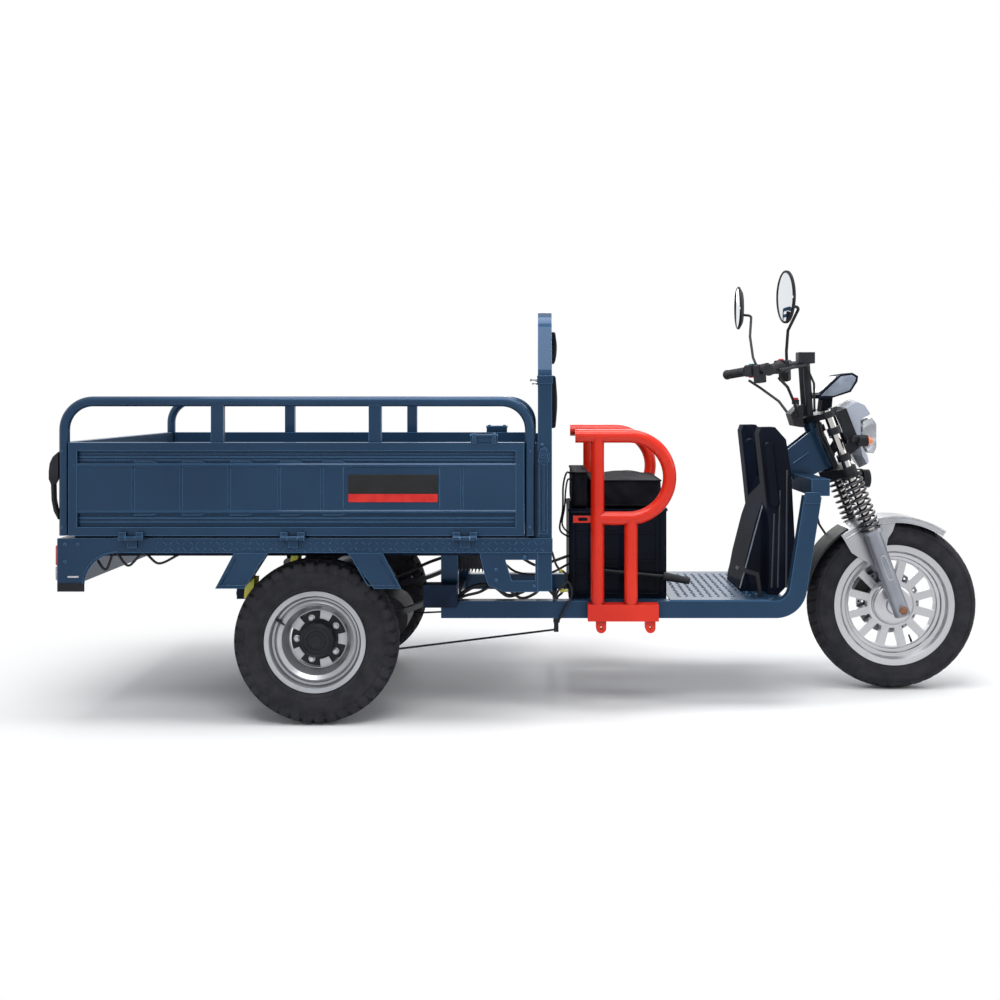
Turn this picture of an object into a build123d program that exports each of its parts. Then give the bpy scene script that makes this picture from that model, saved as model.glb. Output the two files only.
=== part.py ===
"""Electric cargo tricycle with a drop-side bed, at its real size in millimetres.

X points forward, Y to the left and Z up. The origin is on the ground below the middle of the
overall length. Plane.XZ.offset(y) is the plane at Y = -y, so right-hand pieces are drawn on it
and mirrored to the left.
"""
from build123d import *

import os
from math import cos, radians, sin

# ---------------------------------------------------------------- driving dimensions
# Wheels and stance
FRONT_AXLE_X = 1264.0
WHEELBASE = 1996.0
TRACK = 860.0
FRONT_TYRE_R = 303.0
FRONT_TYRE_W = 110.0
FRONT_BEAD_R = 203.0
REAR_TYRE_R = 266.5
REAR_TYRE_W = 100.0
REAR_BEAD_R = 152.4
FRONT_RIM_LIP = 14.0
REAR_RIM_LIP = 11.0
FENDER_GAP = 16.0
RUNNING_GAP = 0.3
BEAD_SHARE = 0.36
TREAD_CROWN = 0.13
SEAT_GAP = 0.3

# Fork
RAKE = 20.4
FORK_OFFSET = 46.0
LEG_Y = 105.0
FORK_TUBE_R = 16.0
SLIDER_R = 28.0
SLIDER_TOP = 297.0
SPRING_R = 33.0
SPRING_WIRE_R = 4.0
GAITER_R = 24.0
SPRING_TURNS = 9
YOKE_LOW = 505.0
YOKE_LOW_T = 30.0
YOKE_LOW_R = 28.0
YOKE_HIGH = 722.0
YOKE_HIGH_T = 22.0
YOKE_STEM_R = 30.0
STEM_R = 13.0
HEAD_TUBE_R = 27.0
HEAD_BORE_R = 20.0
AXLE_R = 8.0

# Handlebar
BAR_R = 11.0
GRIP_R = 17.0
GRIP_OUTER_Y = 390.0

# Chassis
RAIL_OUT_Y = 295.0
RAIL_W = 40.0
RAIL_H = 58.0
RAIL_TOP = 366.0
POST_AHEAD = 416.0
BEAM_TOP_X = 908.0
FLOOR_T = 4.0
FLOOR_FRONT_X = 819.0
UPPER_RAIL_Z = 518.0

# Load bed
BED_REAR_X = -1541.0
BED_FRONT_X = -18.0
BED_OUT_Y = 510.0
SKIRT_Y = 505.0
DECK_Z = 600.0
DECK_T = 4.0
BEARER_H = 42.0
BED_BRACKET_T = 6.0
BEARERS = 5
BEARER_REAR = 61.0
BEARER_FRONT = 142.0
GATE_T = 28.0
GATE_BOTTOM = 613.0
GATE_TOP = 908.0
GATE_GAP = 6.0
HINGE_Z = 606.0
HINGE_OUT = 8.0
HINGE_PIN_R = 4.0
HINGE_BARREL_R = 8.0
HINGE_LEAF = 12.0
HINGE_X = (-1302.0, -792.0, -248.0)
KNUCKLE = 30.0
SIDE_KNUCKLE = 22.0
KNUCKLE_GAP = 1.0
RAIL_TUBE_R = 16.0
RAIL_POSTS = (-1034.0, -534.0)
RAIL_LEG_W = 36.0
FRAME_W = 27.0
FRAME_H = 27.0
PRESS_DEPTH = 12.0
SIDE_RIBS = (-1299.0, -1147.0, -995.0, -837.0, -701.0, -258.0)
PLATE_PAD = (-633.0, -329.0)
TAIL_RIBS = (-330.0, -170.0, 0.0, 170.0, 330.0)
LATCH_OUT = 26.0
RAIL_TUBE_TOP = 1054.0
CORNER_Z = 435.0
CORNER_W = 85.0

# Headboard
HEAD_TUBE_SIDE = 45.0
HEAD_OUT_Y = 500.0
HEAD_BEND_Z = 1118.0
HEAD_TOP_Z = 1332.0
HEAD_TOP_Y = 400.0

# Leg shields
SHIELD_IN_Y = 126.0
SHIELD_OUT_Y = 202.0
SHIELD_T = 4.0
SHIELD_RIB = 6.0
PEDAL_Y = 240.0

# Seat and guards
SEAT_BOX_REAR = 89.0
SEAT_BOX_FRONT = 427.0
SEAT_BOX_Y = 200.0
SEAT_BOX_LOW = 350.0
SEAT_BOX_TOP = 665.0
SEAT_RIBS = (433.0, 470.0, 487.0, 584.0)
GUARD_R = 22.5
GUARD_REAR_X = 181.0
GUARD_FRONT_X = 293.0
GUARD_LOOP_X = 285.0
GUARD_LOOP_Z = 784.3
GUARD_LOOP_R = 137.3
GUARD_TIP_X = 107.0
LUG_X = (193.0, 357.0)
LUG_Z = 282.0
LUG_R = 17.0
LUG_BORE_R = 5.0
LUG_T = 6.0

# ---------------------------------------------------------------- derived stations and frames
REAR_AXLE_X = FRONT_AXLE_X - WHEELBASE
HALF_TRACK = TRACK / 2
FRONT_AXLE = Vector(FRONT_AXLE_X, 0, FRONT_TYRE_R)
FORK_UP = Vector(-sin(radians(RAKE)), 0, cos(radians(RAKE)))
FORK_FORWARD = Vector(cos(radians(RAKE)), 0, sin(radians(RAKE)))
# Local x runs forward, y to the left and z up the fork legs from the front axle.
FORK = Plane(origin=FRONT_AXLE, x_dir=FORK_FORWARD, z_dir=FORK_UP)
POST_X = REAR_AXLE_X + POST_AHEAD
RAIL_IN_Y = RAIL_OUT_Y - RAIL_W
RAIL_LOW = RAIL_TOP - RAIL_H
DECK_TOP = DECK_Z + DECK_T
BEARER_LOW = DECK_Z - BEARER_H
GATE_IN_Y = BED_OUT_Y - GATE_T
HINGE_Y = BED_OUT_Y + HINGE_OUT
GATE_FRONT_X = BED_FRONT_X - 7.0
GATE_REAR_X = BED_REAR_X + 2.0
TAIL_HINGE_X = BED_REAR_X - HINGE_OUT + 1.0
LATCH_TIP_X = BED_REAR_X - LATCH_OUT
LATCH_SEAT_X = GATE_REAR_X + 1.7
SHIELD_LOW = RAIL_TOP + FLOOR_T + SEAT_GAP
BEARER_PITCH = (BED_FRONT_X - BEARER_FRONT - BED_REAR_X - BEARER_REAR) / (BEARERS - 1)
BEARER_X = [BED_REAR_X + BEARER_REAR + BEARER_PITCH * number for number in range(BEARERS)]

os.makedirs("parts", exist_ok=True)


def wheel_plane(x, y, z):
    """Plane through a wheel's axle: local x is the radius, straight up, and local y is +Y."""
    return Plane(origin=(x, y, z), x_dir=(0, 0, 1), z_dir=(-1, 0, 0))


def side_plane(x, y, z):
    """Plane seen from the right: local x is +X, local y is +Z, and the normal is -Y."""
    return Plane(origin=(x, y, z), x_dir=(1, 0, 0), z_dir=(0, -1, 0))


def arc_band(inner_r, outer_r, start, end):
    """A ring sector between two angles in degrees, drawn about the origin."""
    with BuildSketch() as band:
        with BuildLine():
            outer = CenterArc((0, 0), outer_r, start, end - start)
            inner = CenterArc((0, 0), inner_r, start, end - start)
            Line(outer @ 0, inner @ 0)
            Line(outer @ 1, inner @ 1)
        make_face()
    return band.sketch


def fork_point(forward, across, up):
    """A point given in the fork's own frame."""
    return FORK.from_local_coords(Vector(forward, across, up))


def save(part, name):
    """Label a finished piece and write it."""
    part.label = name
    export_step(part, f"parts/{name}.step")


def tyre(centre, outer_r, bead_r, lip, width, tread_w):
    """A tyre with a crowned tread, bulged walls and beads that sit inside the rim lips."""
    shoulder_r = outer_r - TREAD_CROWN * width
    wall_r = bead_r + lip
    wall_h = shoulder_r - wall_r
    bead = BEAD_SHARE * width
    half = [
        (bead_r, bead),
        (wall_r, bead),
        (wall_r + 0.25 * wall_h, 0.49 * width),
        (wall_r + 0.6 * wall_h, width / 2),
        (shoulder_r, tread_w / 2),
        (outer_r - 0.2 * TREAD_CROWN * width, tread_w / 4),
        (outer_r, 0),
    ]
    with BuildPart() as body:
        with BuildSketch(wheel_plane(*centre)):
            with BuildLine():
                Polyline(*half, *[(r, -y) for r, y in reversed(half[:-1])], close=True)
            make_face()
        revolve(axis=Axis(centre, (0, 1, 0)))
    return body.part


def bent_tube(points, radius, bend_r):
    """A round tube along a polyline with its corners bent to one radius."""
    with BuildPart() as tube:
        with BuildLine() as path:
            if len(points) == 2:
                Line(*points)
            else:
                FilletPolyline(*points, radius=bend_r)
        with BuildSketch(path.line ^ 0):
            Circle(radius)
        sweep(path=path.line)
    return tube.part


def side_plate(outline, inner_y, thickness):
    """A right-hand plate from a side-view outline, its inner face at |y| = inner_y."""
    with BuildPart() as plate:
        with BuildSketch(Plane.XZ.offset(inner_y)):
            with BuildLine():
                Polyline(*outline, close=True)
            make_face()
        extrude(amount=thickness)
    return plate.part


def block(x, y, z):
    """A box from its X, Y and Z ranges."""
    size = [high - low for low, high in (x, y, z)]
    middle = [(high + low) / 2 for low, high in (x, y, z)]
    with BuildPart() as box:
        with Locations(tuple(middle)):
            Box(*size)
    return box.part


def pressed_panel(start, end, ribs, low, high, thickness, pad=None):
    """A gate's panel along X, its outer face at y = 0 and its inner face at y = thickness.

    A flat frame stands round a recess, in which the sheet is pressed out again as a long swage
    with upright creases at the ribs and, between them, taller bosses.
    """
    left, right = start + FRAME_W, end - FRAME_W
    floor, ceiling = low + FRAME_H, high - FRAME_H
    swage_low, swage_high = floor + 42, ceiling - 38
    with BuildPart() as panel:
        add(block((start, end), (0, thickness), (low, high)))
        add(block((left, right), (-1, PRESS_DEPTH), (floor, ceiling)), mode=Mode.SUBTRACT)
        with BuildSketch(Plane.YZ.offset(left)):
            with BuildLine():
                Polyline((PRESS_DEPTH, swage_low), (PRESS_DEPTH - 6, swage_low + 3), (2, swage_low + 14),
                         (2, swage_high - 14), (PRESS_DEPTH - 6, swage_high - 3),
                         (PRESS_DEPTH, swage_high), close=True)
            make_face()
            for step in (floor + 16, floor + 28, ceiling - 30, ceiling - 19, ceiling - 8):
                with Locations((PRESS_DEPTH - 1.5, step)):
                    Rectangle(3, 5)
        extrude(amount=right - left)
        for rib in ribs[:-1]:
            with BuildSketch(Plane.XZ.offset(-PRESS_DEPTH)):
                with BuildLine():
                    Polyline((rib + 2, swage_low - 5), (rib + 60, swage_low - 5), (rib + 84, swage_low + 4),
                             (rib + 84, swage_high - 4), (rib + 60, swage_high + 7),
                             (rib + 2, swage_high + 7), close=True)
                make_face()
            extrude(amount=PRESS_DEPTH - 4)
        with BuildSketch(Plane.XZ.offset(2)):
            with Locations(*[(rib, (swage_low + swage_high) / 2) for rib in ribs]):
                Rectangle(5, swage_high - swage_low + 16)
        extrude(amount=-7, mode=Mode.SUBTRACT)
        if pad:
            with BuildSketch(Plane.XZ.offset(2)):
                with Locations(((pad[0] + pad[1]) / 2, (swage_low + swage_high) / 2)):
                    RectangleRounded(pad[1] - pad[0], swage_high - swage_low - 22, 9)
            extrude(amount=-6, mode=Mode.SUBTRACT)
    return panel.part


def hinge_barrel(x, length, radius):
    """A barrel lying along X on the right-hand gate hinge line."""
    with BuildPart() as barrel:
        with BuildSketch(Plane.YZ.offset(x - length / 2)):
            with Locations((-HINGE_Y, HINGE_Z)):
                Circle(radius)
        extrude(amount=length)
    return barrel.part


# ---------------------------------------------------------------- front wheel
RIM_EDGE = BEAD_SHARE * FRONT_TYRE_W + SEAT_GAP
RIM_SEAT_R = FRONT_BEAD_R - SEAT_GAP
RIM_WELL_R = 160.0
SPOKE_T = 24.0
SPOKES = 12
HUB_COVER_R = 74.0
DISC_R = 115.0
DISC_Y = 34.0
DISC_T = 4.0

front_tyre = tyre(
    (FRONT_AXLE_X, 0, FRONT_TYRE_R), FRONT_TYRE_R, FRONT_BEAD_R, FRONT_RIM_LIP, FRONT_TYRE_W, 84
)
save(front_tyre, "front_tyre")

with BuildPart() as front_rim:
    with BuildSketch(wheel_plane(FRONT_AXLE_X, 0, FRONT_TYRE_R)):
        with BuildLine():
            half = [
                (AXLE_R + 0.5, 56),
                (30, 56),
                (30, 31),
                (HUB_COVER_R - 12, 30),
                (HUB_COVER_R, 24),
                (HUB_COVER_R + 1, SPOKE_T / 2 + 2),
                (HUB_COVER_R + 9, SPOKE_T / 2),
                (RIM_WELL_R, SPOKE_T / 2),
                (RIM_WELL_R + 2, SPOKE_T / 2 + 5),
                (RIM_WELL_R + 12, SPOKE_T / 2 + 9),
                (RIM_WELL_R + 15, SPOKE_T / 2 + 17),
                (RIM_SEAT_R - 16, SPOKE_T / 2 + 20),
                (RIM_SEAT_R - 8, RIM_EDGE + 4),
                (RIM_SEAT_R + FRONT_RIM_LIP, RIM_EDGE + 4),
                (RIM_SEAT_R + FRONT_RIM_LIP, RIM_EDGE),
                (RIM_SEAT_R, RIM_EDGE),
            ]
            Polyline(*half, *[(r, -y) for r, y in reversed(half)], close=True)
        make_face()
    revolve(axis=Axis(FRONT_AXLE, (0, 1, 0)))
    with BuildSketch() as window:
        with BuildLine():
            Polyline((88, -9), (154, -27), (158, 0), (154, 27), (88, 9), close=True)
        make_face()
    with BuildSketch(side_plane(FRONT_AXLE_X, SPOKE_T / 2 + 1, FRONT_TYRE_R)):
        with PolarLocations(0, SPOKES):
            add(window.sketch)
    extrude(amount=SPOKE_T + 2, mode=Mode.SUBTRACT)
save(front_rim.part, "front_rim")

with BuildPart() as brake_disc:
    with BuildSketch(Plane.XZ.offset(-DISC_Y - DISC_T)):
        with Locations((FRONT_AXLE_X, FRONT_TYRE_R)):
            Circle(DISC_R)
            Circle(30 + SEAT_GAP, mode=Mode.SUBTRACT)
            with PolarLocations(DISC_R - 12, SPOKES, start_angle=-15):
                Circle(4, mode=Mode.SUBTRACT)
            with PolarLocations(DISC_R - 22, SPOKES, start_angle=0):
                Circle(4, mode=Mode.SUBTRACT)
            with PolarLocations(DISC_R - 12, SPOKES, start_angle=-7):
                Circle(4, mode=Mode.SUBTRACT)
    extrude(amount=DISC_T)
save(brake_disc.part, "brake_disc")

# ---------------------------------------------------------------- rear wheels
REAR_RIM_EDGE = BEAD_SHARE * REAR_TYRE_W + SEAT_GAP
REAR_RIM_SEAT_R = REAR_BEAD_R - SEAT_GAP
HUB_R = 55.0
STUB_R = 15.0
DRUM_R = 88.0
WHEEL_FACE = -18.0
NUTS = 5
NUT_R = 70.0
NUT_START = 36.0

with BuildPart() as rear_rim_left:
    with BuildSketch(wheel_plane(REAR_AXLE_X, HALF_TRACK, REAR_TYRE_R)):
        with BuildLine():
            lip = REAR_RIM_SEAT_R + REAR_RIM_LIP
            Polyline(
                (REAR_RIM_SEAT_R, -REAR_RIM_EDGE),
                (lip, -REAR_RIM_EDGE),
                (lip, -REAR_RIM_EDGE - 4),
                (REAR_RIM_SEAT_R - 5, -REAR_RIM_EDGE - 4),
                (REAR_RIM_SEAT_R - 5, 16),
                (137, 16),
                (124, 20),
                (98, WHEEL_FACE),
                (NUT_R - 4, WHEEL_FACE),
                (NUT_R - 4, WHEEL_FACE + 5),
                (95, WHEEL_FACE + 5),
                (112, 16),
                (124, 26),
                (133, 21),
                (REAR_RIM_SEAT_R - 8, 24),
                (REAR_RIM_SEAT_R - 4, REAR_RIM_EDGE + 4),
                (lip, REAR_RIM_EDGE + 4),
                (lip, REAR_RIM_EDGE),
                (REAR_RIM_SEAT_R, REAR_RIM_EDGE),
                close=True,
            )
        make_face()
    revolve(axis=Axis((REAR_AXLE_X, 0, REAR_TYRE_R), (0, 1, 0)))
    with BuildSketch(side_plane(REAR_AXLE_X, HALF_TRACK + WHEEL_FACE + 6, REAR_TYRE_R)):
        with PolarLocations(0, NUTS, start_angle=NUT_START):
            add(arc_band(NUT_R - 8, 92, -23, 23))
    extrude(amount=12, mode=Mode.SUBTRACT)
save(rear_rim_left.part, "rear_rim_left")

with BuildPart() as rear_hub_left:
    with BuildSketch(wheel_plane(REAR_AXLE_X, HALF_TRACK, REAR_TYRE_R)):
        with BuildLine():
            Polyline(
                (STUB_R + RUNNING_GAP, -70),
                (DRUM_R, -70),
                (DRUM_R, WHEEL_FACE - SEAT_GAP),
                (HUB_R, WHEEL_FACE - SEAT_GAP),
                (HUB_R, 14),
                (46, 24),
                (0, 26),
                (0, 18),
                (STUB_R + RUNNING_GAP, 18),
                close=True,
            )
        make_face()
    revolve(axis=Axis((REAR_AXLE_X, 0, REAR_TYRE_R), (0, 1, 0)))
save(rear_hub_left.part, "rear_hub_left")

rear_tyre_left = tyre(
    (REAR_AXLE_X, HALF_TRACK, REAR_TYRE_R), REAR_TYRE_R, REAR_BEAD_R, REAR_RIM_LIP, REAR_TYRE_W, 82
)
save(rear_tyre_left, "rear_tyre_left")

for left_piece, name in (
    (rear_rim_left.part, "rear_rim_right"),
    (rear_hub_left.part, "rear_hub_right"),
    (rear_tyre_left, "rear_tyre_right"),
):
    with BuildPart() as right_piece:
        add(left_piece)
        mirror(about=Plane.XZ, mode=Mode.REPLACE)
    save(right_piece.part, name)

# ---------------------------------------------------------------- rear axle, motor and springs
LEAF_Y = 328.0
LEAF_W = 40.0
LEAF_FRONT = Vector(REAR_AXLE_X + 361, 0, 378)
LEAF_REAR = Vector(REAR_AXLE_X - 268, 0, 402)
AXLE_TUBE_R = 30.0
LEAF_MID_Z = REAR_TYRE_R + AXLE_TUBE_R + 16

with BuildPart() as rear_axle:
    with BuildSketch(wheel_plane(REAR_AXLE_X, 0, REAR_TYRE_R)):
        with BuildLine():
            outer = HALF_TRACK + 16
            inner = HALF_TRACK - 71
            Polyline(
                (0, -outer), (STUB_R, -outer), (STUB_R, -inner), (72, -inner), (72, -inner + 6),
                (AXLE_TUBE_R, -inner + 6), (AXLE_TUBE_R, inner - 6), (72, inner - 6), (72, inner),
                (STUB_R, inner), (STUB_R, outer), (0, outer), close=True,
            )
        make_face()
    revolve(axis=Axis((REAR_AXLE_X, 0, REAR_TYRE_R), (0, 1, 0)))
    with BuildSketch(wheel_plane(REAR_AXLE_X, 0, REAR_TYRE_R)):
        with BuildLine():
            Polyline((0, -70), (70, -70), (98, -42), (98, 42), (70, 70), (0, 70), close=True)
        make_face()
    revolve(axis=Axis((REAR_AXLE_X, 0, REAR_TYRE_R), (0, 1, 0)))
save(rear_axle.part, "rear_axle")

with BuildPart() as drive_motor:
    with Locations(Plane.XZ):
        with Locations((REAR_AXLE_X + 98 + 77, REAR_TYRE_R, 0)):
            Cylinder(77 - SEAT_GAP, 190)
save(drive_motor.part, "drive_motor")

with BuildPart() as leaf_springs:
    with BuildSketch(Plane.XZ.offset(LEAF_Y - LEAF_W / 2)):
        with BuildLine() as leaf_path:
            ThreePointArc(
                (LEAF_FRONT.X, LEAF_FRONT.Z), (REAR_AXLE_X, LEAF_MID_Z), (LEAF_REAR.X, LEAF_REAR.Z)
            )
            offset(amount=8)
        make_face()
    extrude(amount=LEAF_W)
    with BuildSketch(Plane.XZ.offset(LEAF_Y - LEAF_W / 2)):
        with BuildLine():
            ThreePointArc(
                (REAR_AXLE_X + 212, 340), (REAR_AXLE_X, LEAF_MID_Z - 14), (REAR_AXLE_X - 158, 352)
            )
            offset(amount=7)
        make_face()
    extrude(amount=LEAF_W)
    with BuildSketch(Plane.XZ.offset(LEAF_Y - LEAF_W / 2)):
        with Locations((LEAF_FRONT.X, LEAF_FRONT.Z), (LEAF_REAR.X, LEAF_REAR.Z)):
            Circle(18)
    extrude(amount=LEAF_W)
    with BuildSketch(Plane.XZ.offset(LEAF_Y - LEAF_W / 2)):
        with Locations((REAR_AXLE_X, REAR_TYRE_R)):
            Circle(AXLE_TUBE_R + SEAT_GAP)
    extrude(amount=LEAF_W, mode=Mode.SUBTRACT)
    mirror(about=Plane.XZ)
save(leaf_springs.part, "leaf_springs")

with BuildPart() as spring_hangers:
    add(block((LEAF_FRONT.X - 26, LEAF_FRONT.X + 27), (-LEAF_Y - 28, -LEAF_Y - 20.3), (355, 430)))
    add(block((LEAF_FRONT.X - 26, LEAF_FRONT.X + 27), (-LEAF_Y - 28, -RAIL_OUT_Y), (400, 430)))
    add(block((LEAF_FRONT.X + 22, POST_X + 29), (-LEAF_Y - 28, -RAIL_OUT_Y), (355, 430)))
    add(block((LEAF_REAR.X - 14, LEAF_REAR.X + 14), (-LEAF_Y - 28, -LEAF_Y - 20.3), (384, 470)))
    add(block((LEAF_REAR.X - 22, LEAF_REAR.X + 22), (-LEAF_Y - 28, -RAIL_IN_Y), (440, 470)))
    add(block((LEAF_REAR.X - 22, LEAF_REAR.X + 22), (-RAIL_OUT_Y, -RAIL_IN_Y), (440, UPPER_RAIL_Z)))
    mirror(about=Plane.XZ)
save(spring_hangers.part, "spring_hangers")

# ---------------------------------------------------------------- chassis
CROSS_BEAM = (903.0, 964.0)
CROSS_BEAM_LOW = 719.0
CROSS_BEAM_H = 57.0

with BuildPart() as chassis_rails:
    with BuildLine() as rail_path:
        middle_y = -(RAIL_OUT_Y - RAIL_W / 2)
        middle_z = RAIL_TOP - RAIL_H / 2
        FilletPolyline(
            (POST_X, middle_y, middle_z),
            (848, middle_y, middle_z),
            (BEAM_TOP_X, middle_y, CROSS_BEAM_LOW),
            radius=76,
        )
    with BuildSketch(Plane(origin=(POST_X, middle_y, middle_z), x_dir=(0, 1, 0), z_dir=(1, 0, 0))):
        Rectangle(RAIL_W, RAIL_H)
    sweep(path=rail_path.line)
    add(block((POST_X - 28, POST_X + 29), (-RAIL_OUT_Y, -RAIL_IN_Y), (RAIL_LOW, UPPER_RAIL_Z)))
    split(bisect_by=Plane.XY.offset(CROSS_BEAM_LOW), keep=Keep.BOTTOM)
    mirror(about=Plane.XZ)
    for x in (POST_X, 130.0, 390.0):
        add(block((x - 20, x + 20), (-RAIL_IN_Y, RAIL_IN_Y), (RAIL_LOW, RAIL_LOW + 40)))
    add(block((680, 720), (-RAIL_IN_Y, RAIL_IN_Y), (RAIL_TOP - 40, RAIL_TOP)))
save(chassis_rails.part, "chassis_rails")

HEAD_LOW = YOKE_LOW + YOKE_LOW_T + 3
HEAD_HIGH = YOKE_HIGH - 3
with BuildPart() as steering_head:
    add(block(CROSS_BEAM, (-RAIL_OUT_Y, RAIL_OUT_Y), (CROSS_BEAM_LOW, CROSS_BEAM_LOW + CROSS_BEAM_H)))
    gusset = [(873, 855), (963, 927), (985, 941), (1034, 797), (990, 779), (964, 766), (964, 750),
              (903, 750), (884, 791)]
    add(side_plate(gusset, 26, 6))
    mirror(about=Plane.XZ)
    with BuildSketch(FORK.offset(HEAD_LOW)):
        with Locations((-FORK_OFFSET, 0)):
            Circle(HEAD_TUBE_R)
    extrude(amount=HEAD_HIGH - HEAD_LOW)
    with BuildSketch(FORK.offset(HEAD_LOW - 20)):
        with Locations((-FORK_OFFSET, 0)):
            Circle(HEAD_BORE_R)
    extrude(amount=HEAD_HIGH - HEAD_LOW + 40, mode=Mode.SUBTRACT)
save(steering_head.part, "steering_head")

with BuildPart() as floorboard:
    add(block((SEAT_BOX_FRONT, 765), (-RAIL_OUT_Y, RAIL_OUT_Y), (RAIL_TOP, RAIL_TOP + FLOOR_T)))
    add(block((765, FLOOR_FRONT_X), (-RAIL_IN_Y + 1, RAIL_IN_Y - 1), (RAIL_TOP, RAIL_TOP + FLOOR_T)))
save(floorboard.part, "floorboard")

# ---------------------------------------------------------------- steering assembly
MUDGUARD_BOSS_Y = LEG_Y - SLIDER_R - 5
with BuildPart() as fork_sliders:
    with Locations(FORK):
        with Locations((0, MUDGUARD_BOSS_Y + 6, 262), (0, -MUDGUARD_BOSS_Y - 6, 262)):
            Box(22, 12, 28)
    with BuildSketch(FORK.offset(-24)):
        with Locations((0, LEG_Y), (0, -LEG_Y)):
            Circle(SLIDER_R)
    extrude(amount=SLIDER_TOP + 24)
    with BuildSketch(FORK.offset(SLIDER_TOP - 12)):
        with Locations((0, LEG_Y), (0, -LEG_Y)):
            Circle(SPRING_R + 5)
    extrude(amount=12)
    with Locations(Plane.XZ):
        with Locations((FRONT_AXLE_X, FRONT_TYRE_R, 0)):
            Cylinder(AXLE_R, 2 * LEG_Y + 72)
            with Locations((0, 0, LEG_Y + 30), (0, 0, -LEG_Y - 30)):
                Cylinder(13, 12)
            with Locations((0, 0, 68), (0, 0, -68)):
                Cylinder(14, 22)
save(fork_sliders.part, "fork_sliders")

with BuildPart() as fork_tubes:
    with BuildSketch(FORK.offset(SLIDER_TOP)):
        with Locations((0, LEG_Y), (0, -LEG_Y)):
            Circle(FORK_TUBE_R)
    extrude(amount=YOKE_HIGH + YOKE_HIGH_T + 6 - SLIDER_TOP)
save(fork_tubes.part, "fork_tubes")

SPRING_LOW = SLIDER_TOP + SEAT_GAP + SPRING_WIRE_R
SPRING_HIGH = YOKE_LOW - 7 - SEAT_GAP - SPRING_WIRE_R
with BuildPart() as fork_springs:
    with BuildLine() as coil:
        Helix(
            pitch=(SPRING_HIGH - SPRING_LOW) / SPRING_TURNS,
            height=SPRING_HIGH - SPRING_LOW,
            radius=SPRING_R,
            center=fork_point(0, -LEG_Y, SPRING_LOW),
            direction=FORK_UP,
        )
    with BuildSketch(Plane(origin=coil.line @ 0, z_dir=coil.line % 0)):
        RegularPolygon(SPRING_WIRE_R, 6)
    sweep(path=coil.line, is_frenet=True)
    with BuildSketch(FORK.offset(SLIDER_TOP)):
        with Locations((0, -LEG_Y)):
            Circle(GAITER_R)
            Circle(FORK_TUBE_R + SEAT_GAP, mode=Mode.SUBTRACT)
    extrude(amount=YOKE_LOW - 7 - SLIDER_TOP)
    mirror(about=Plane.XZ)
save(fork_springs.part, "fork_springs")

with BuildPart() as fork_yokes:
    for low, thickness, leg_r, stem_r in (
        (YOKE_LOW, YOKE_LOW_T, YOKE_LOW_R, 34),
        (YOKE_HIGH, YOKE_HIGH_T, 25, YOKE_STEM_R),
    ):
        with BuildSketch(FORK.offset(low)):
            with Locations((0, LEG_Y), (0, -LEG_Y)):
                Circle(leg_r)
            with Locations((-FORK_OFFSET, 0)):
                Circle(stem_r)
            make_hull()
        extrude(amount=thickness)
    with BuildSketch(FORK.offset(YOKE_LOW - 7)):
        with Locations((0, LEG_Y), (0, -LEG_Y)):
            Circle(SPRING_R + 5)
    extrude(amount=7)
    with BuildSketch(FORK.offset(YOKE_LOW)):
        with Locations((-FORK_OFFSET, 0)):
            Circle(STEM_R)
    extrude(amount=YOKE_HIGH - YOKE_LOW)
    for race in (HEAD_LOW + 2, HEAD_HIGH - 14):
        with BuildSketch(FORK.offset(race)):
            with Locations((-FORK_OFFSET, 0)):
                Circle(HEAD_BORE_R - RUNNING_GAP)
        extrude(amount=12)
    with BuildSketch(FORK.offset(YOKE_LOW - 10)):
        with Locations((0, LEG_Y), (0, -LEG_Y)):
            Circle(FORK_TUBE_R + SEAT_GAP)
    extrude(amount=300, mode=Mode.SUBTRACT)
save(fork_yokes.part, "fork_yokes")

FENDER_R = FRONT_TYRE_R + FENDER_GAP
FENDER_T = 3.0
FENDER_Y = 66.0
FENDER_LIP = 20.0
FENDER_SPAN = (56.5, 128.0)
# Each ear reaches from the band down to the leg: radius and angle about the axle, point by point.
EAR = [(FENDER_R - 8, 90), (268, 93), (246, 97), (212, 100), (160, 104), (152, 114), (182, 122),
       (214, 127), (250, 130), (FENDER_R - 8, 128)]
with BuildPart() as front_mudguard:
    with BuildSketch(side_plane(FRONT_AXLE_X, FENDER_Y, FRONT_TYRE_R)):
        add(arc_band(FENDER_R, FENDER_R + FENDER_T, *FENDER_SPAN))
    extrude(amount=2 * FENDER_Y)
    with BuildSketch(side_plane(FRONT_AXLE_X, FENDER_T - FENDER_Y, FRONT_TYRE_R)):
        add(arc_band(FENDER_R - FENDER_LIP, FENDER_R + FENDER_T, *FENDER_SPAN))
    extrude(amount=FENDER_T)
    with BuildSketch(Plane.XZ.offset(FENDER_Y - FENDER_T)):
        with BuildLine():
            ear = [FRONT_AXLE + Vector(cos(radians(a)), 0, sin(radians(a))) * r for r, a in EAR]
            Polyline(*[(point.X, point.Z) for point in ear], close=True)
        make_face()
    extrude(amount=FENDER_T)
    mirror(about=Plane.XZ)
    stay = MUDGUARD_BOSS_Y - FENDER_Y + FENDER_T
    with Locations(FORK):
        with Locations((0, MUDGUARD_BOSS_Y - stay / 2, 262), (0, stay / 2 - MUDGUARD_BOSS_Y, 262)):
            Box(20, stay, 30)
        with Locations((0, FENDER_Y - FENDER_T / 2, 275), (0, FENDER_T / 2 - FENDER_Y, 275)):
            Box(20, FENDER_T, 56)
save(front_mudguard.part, "front_mudguard")

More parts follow.
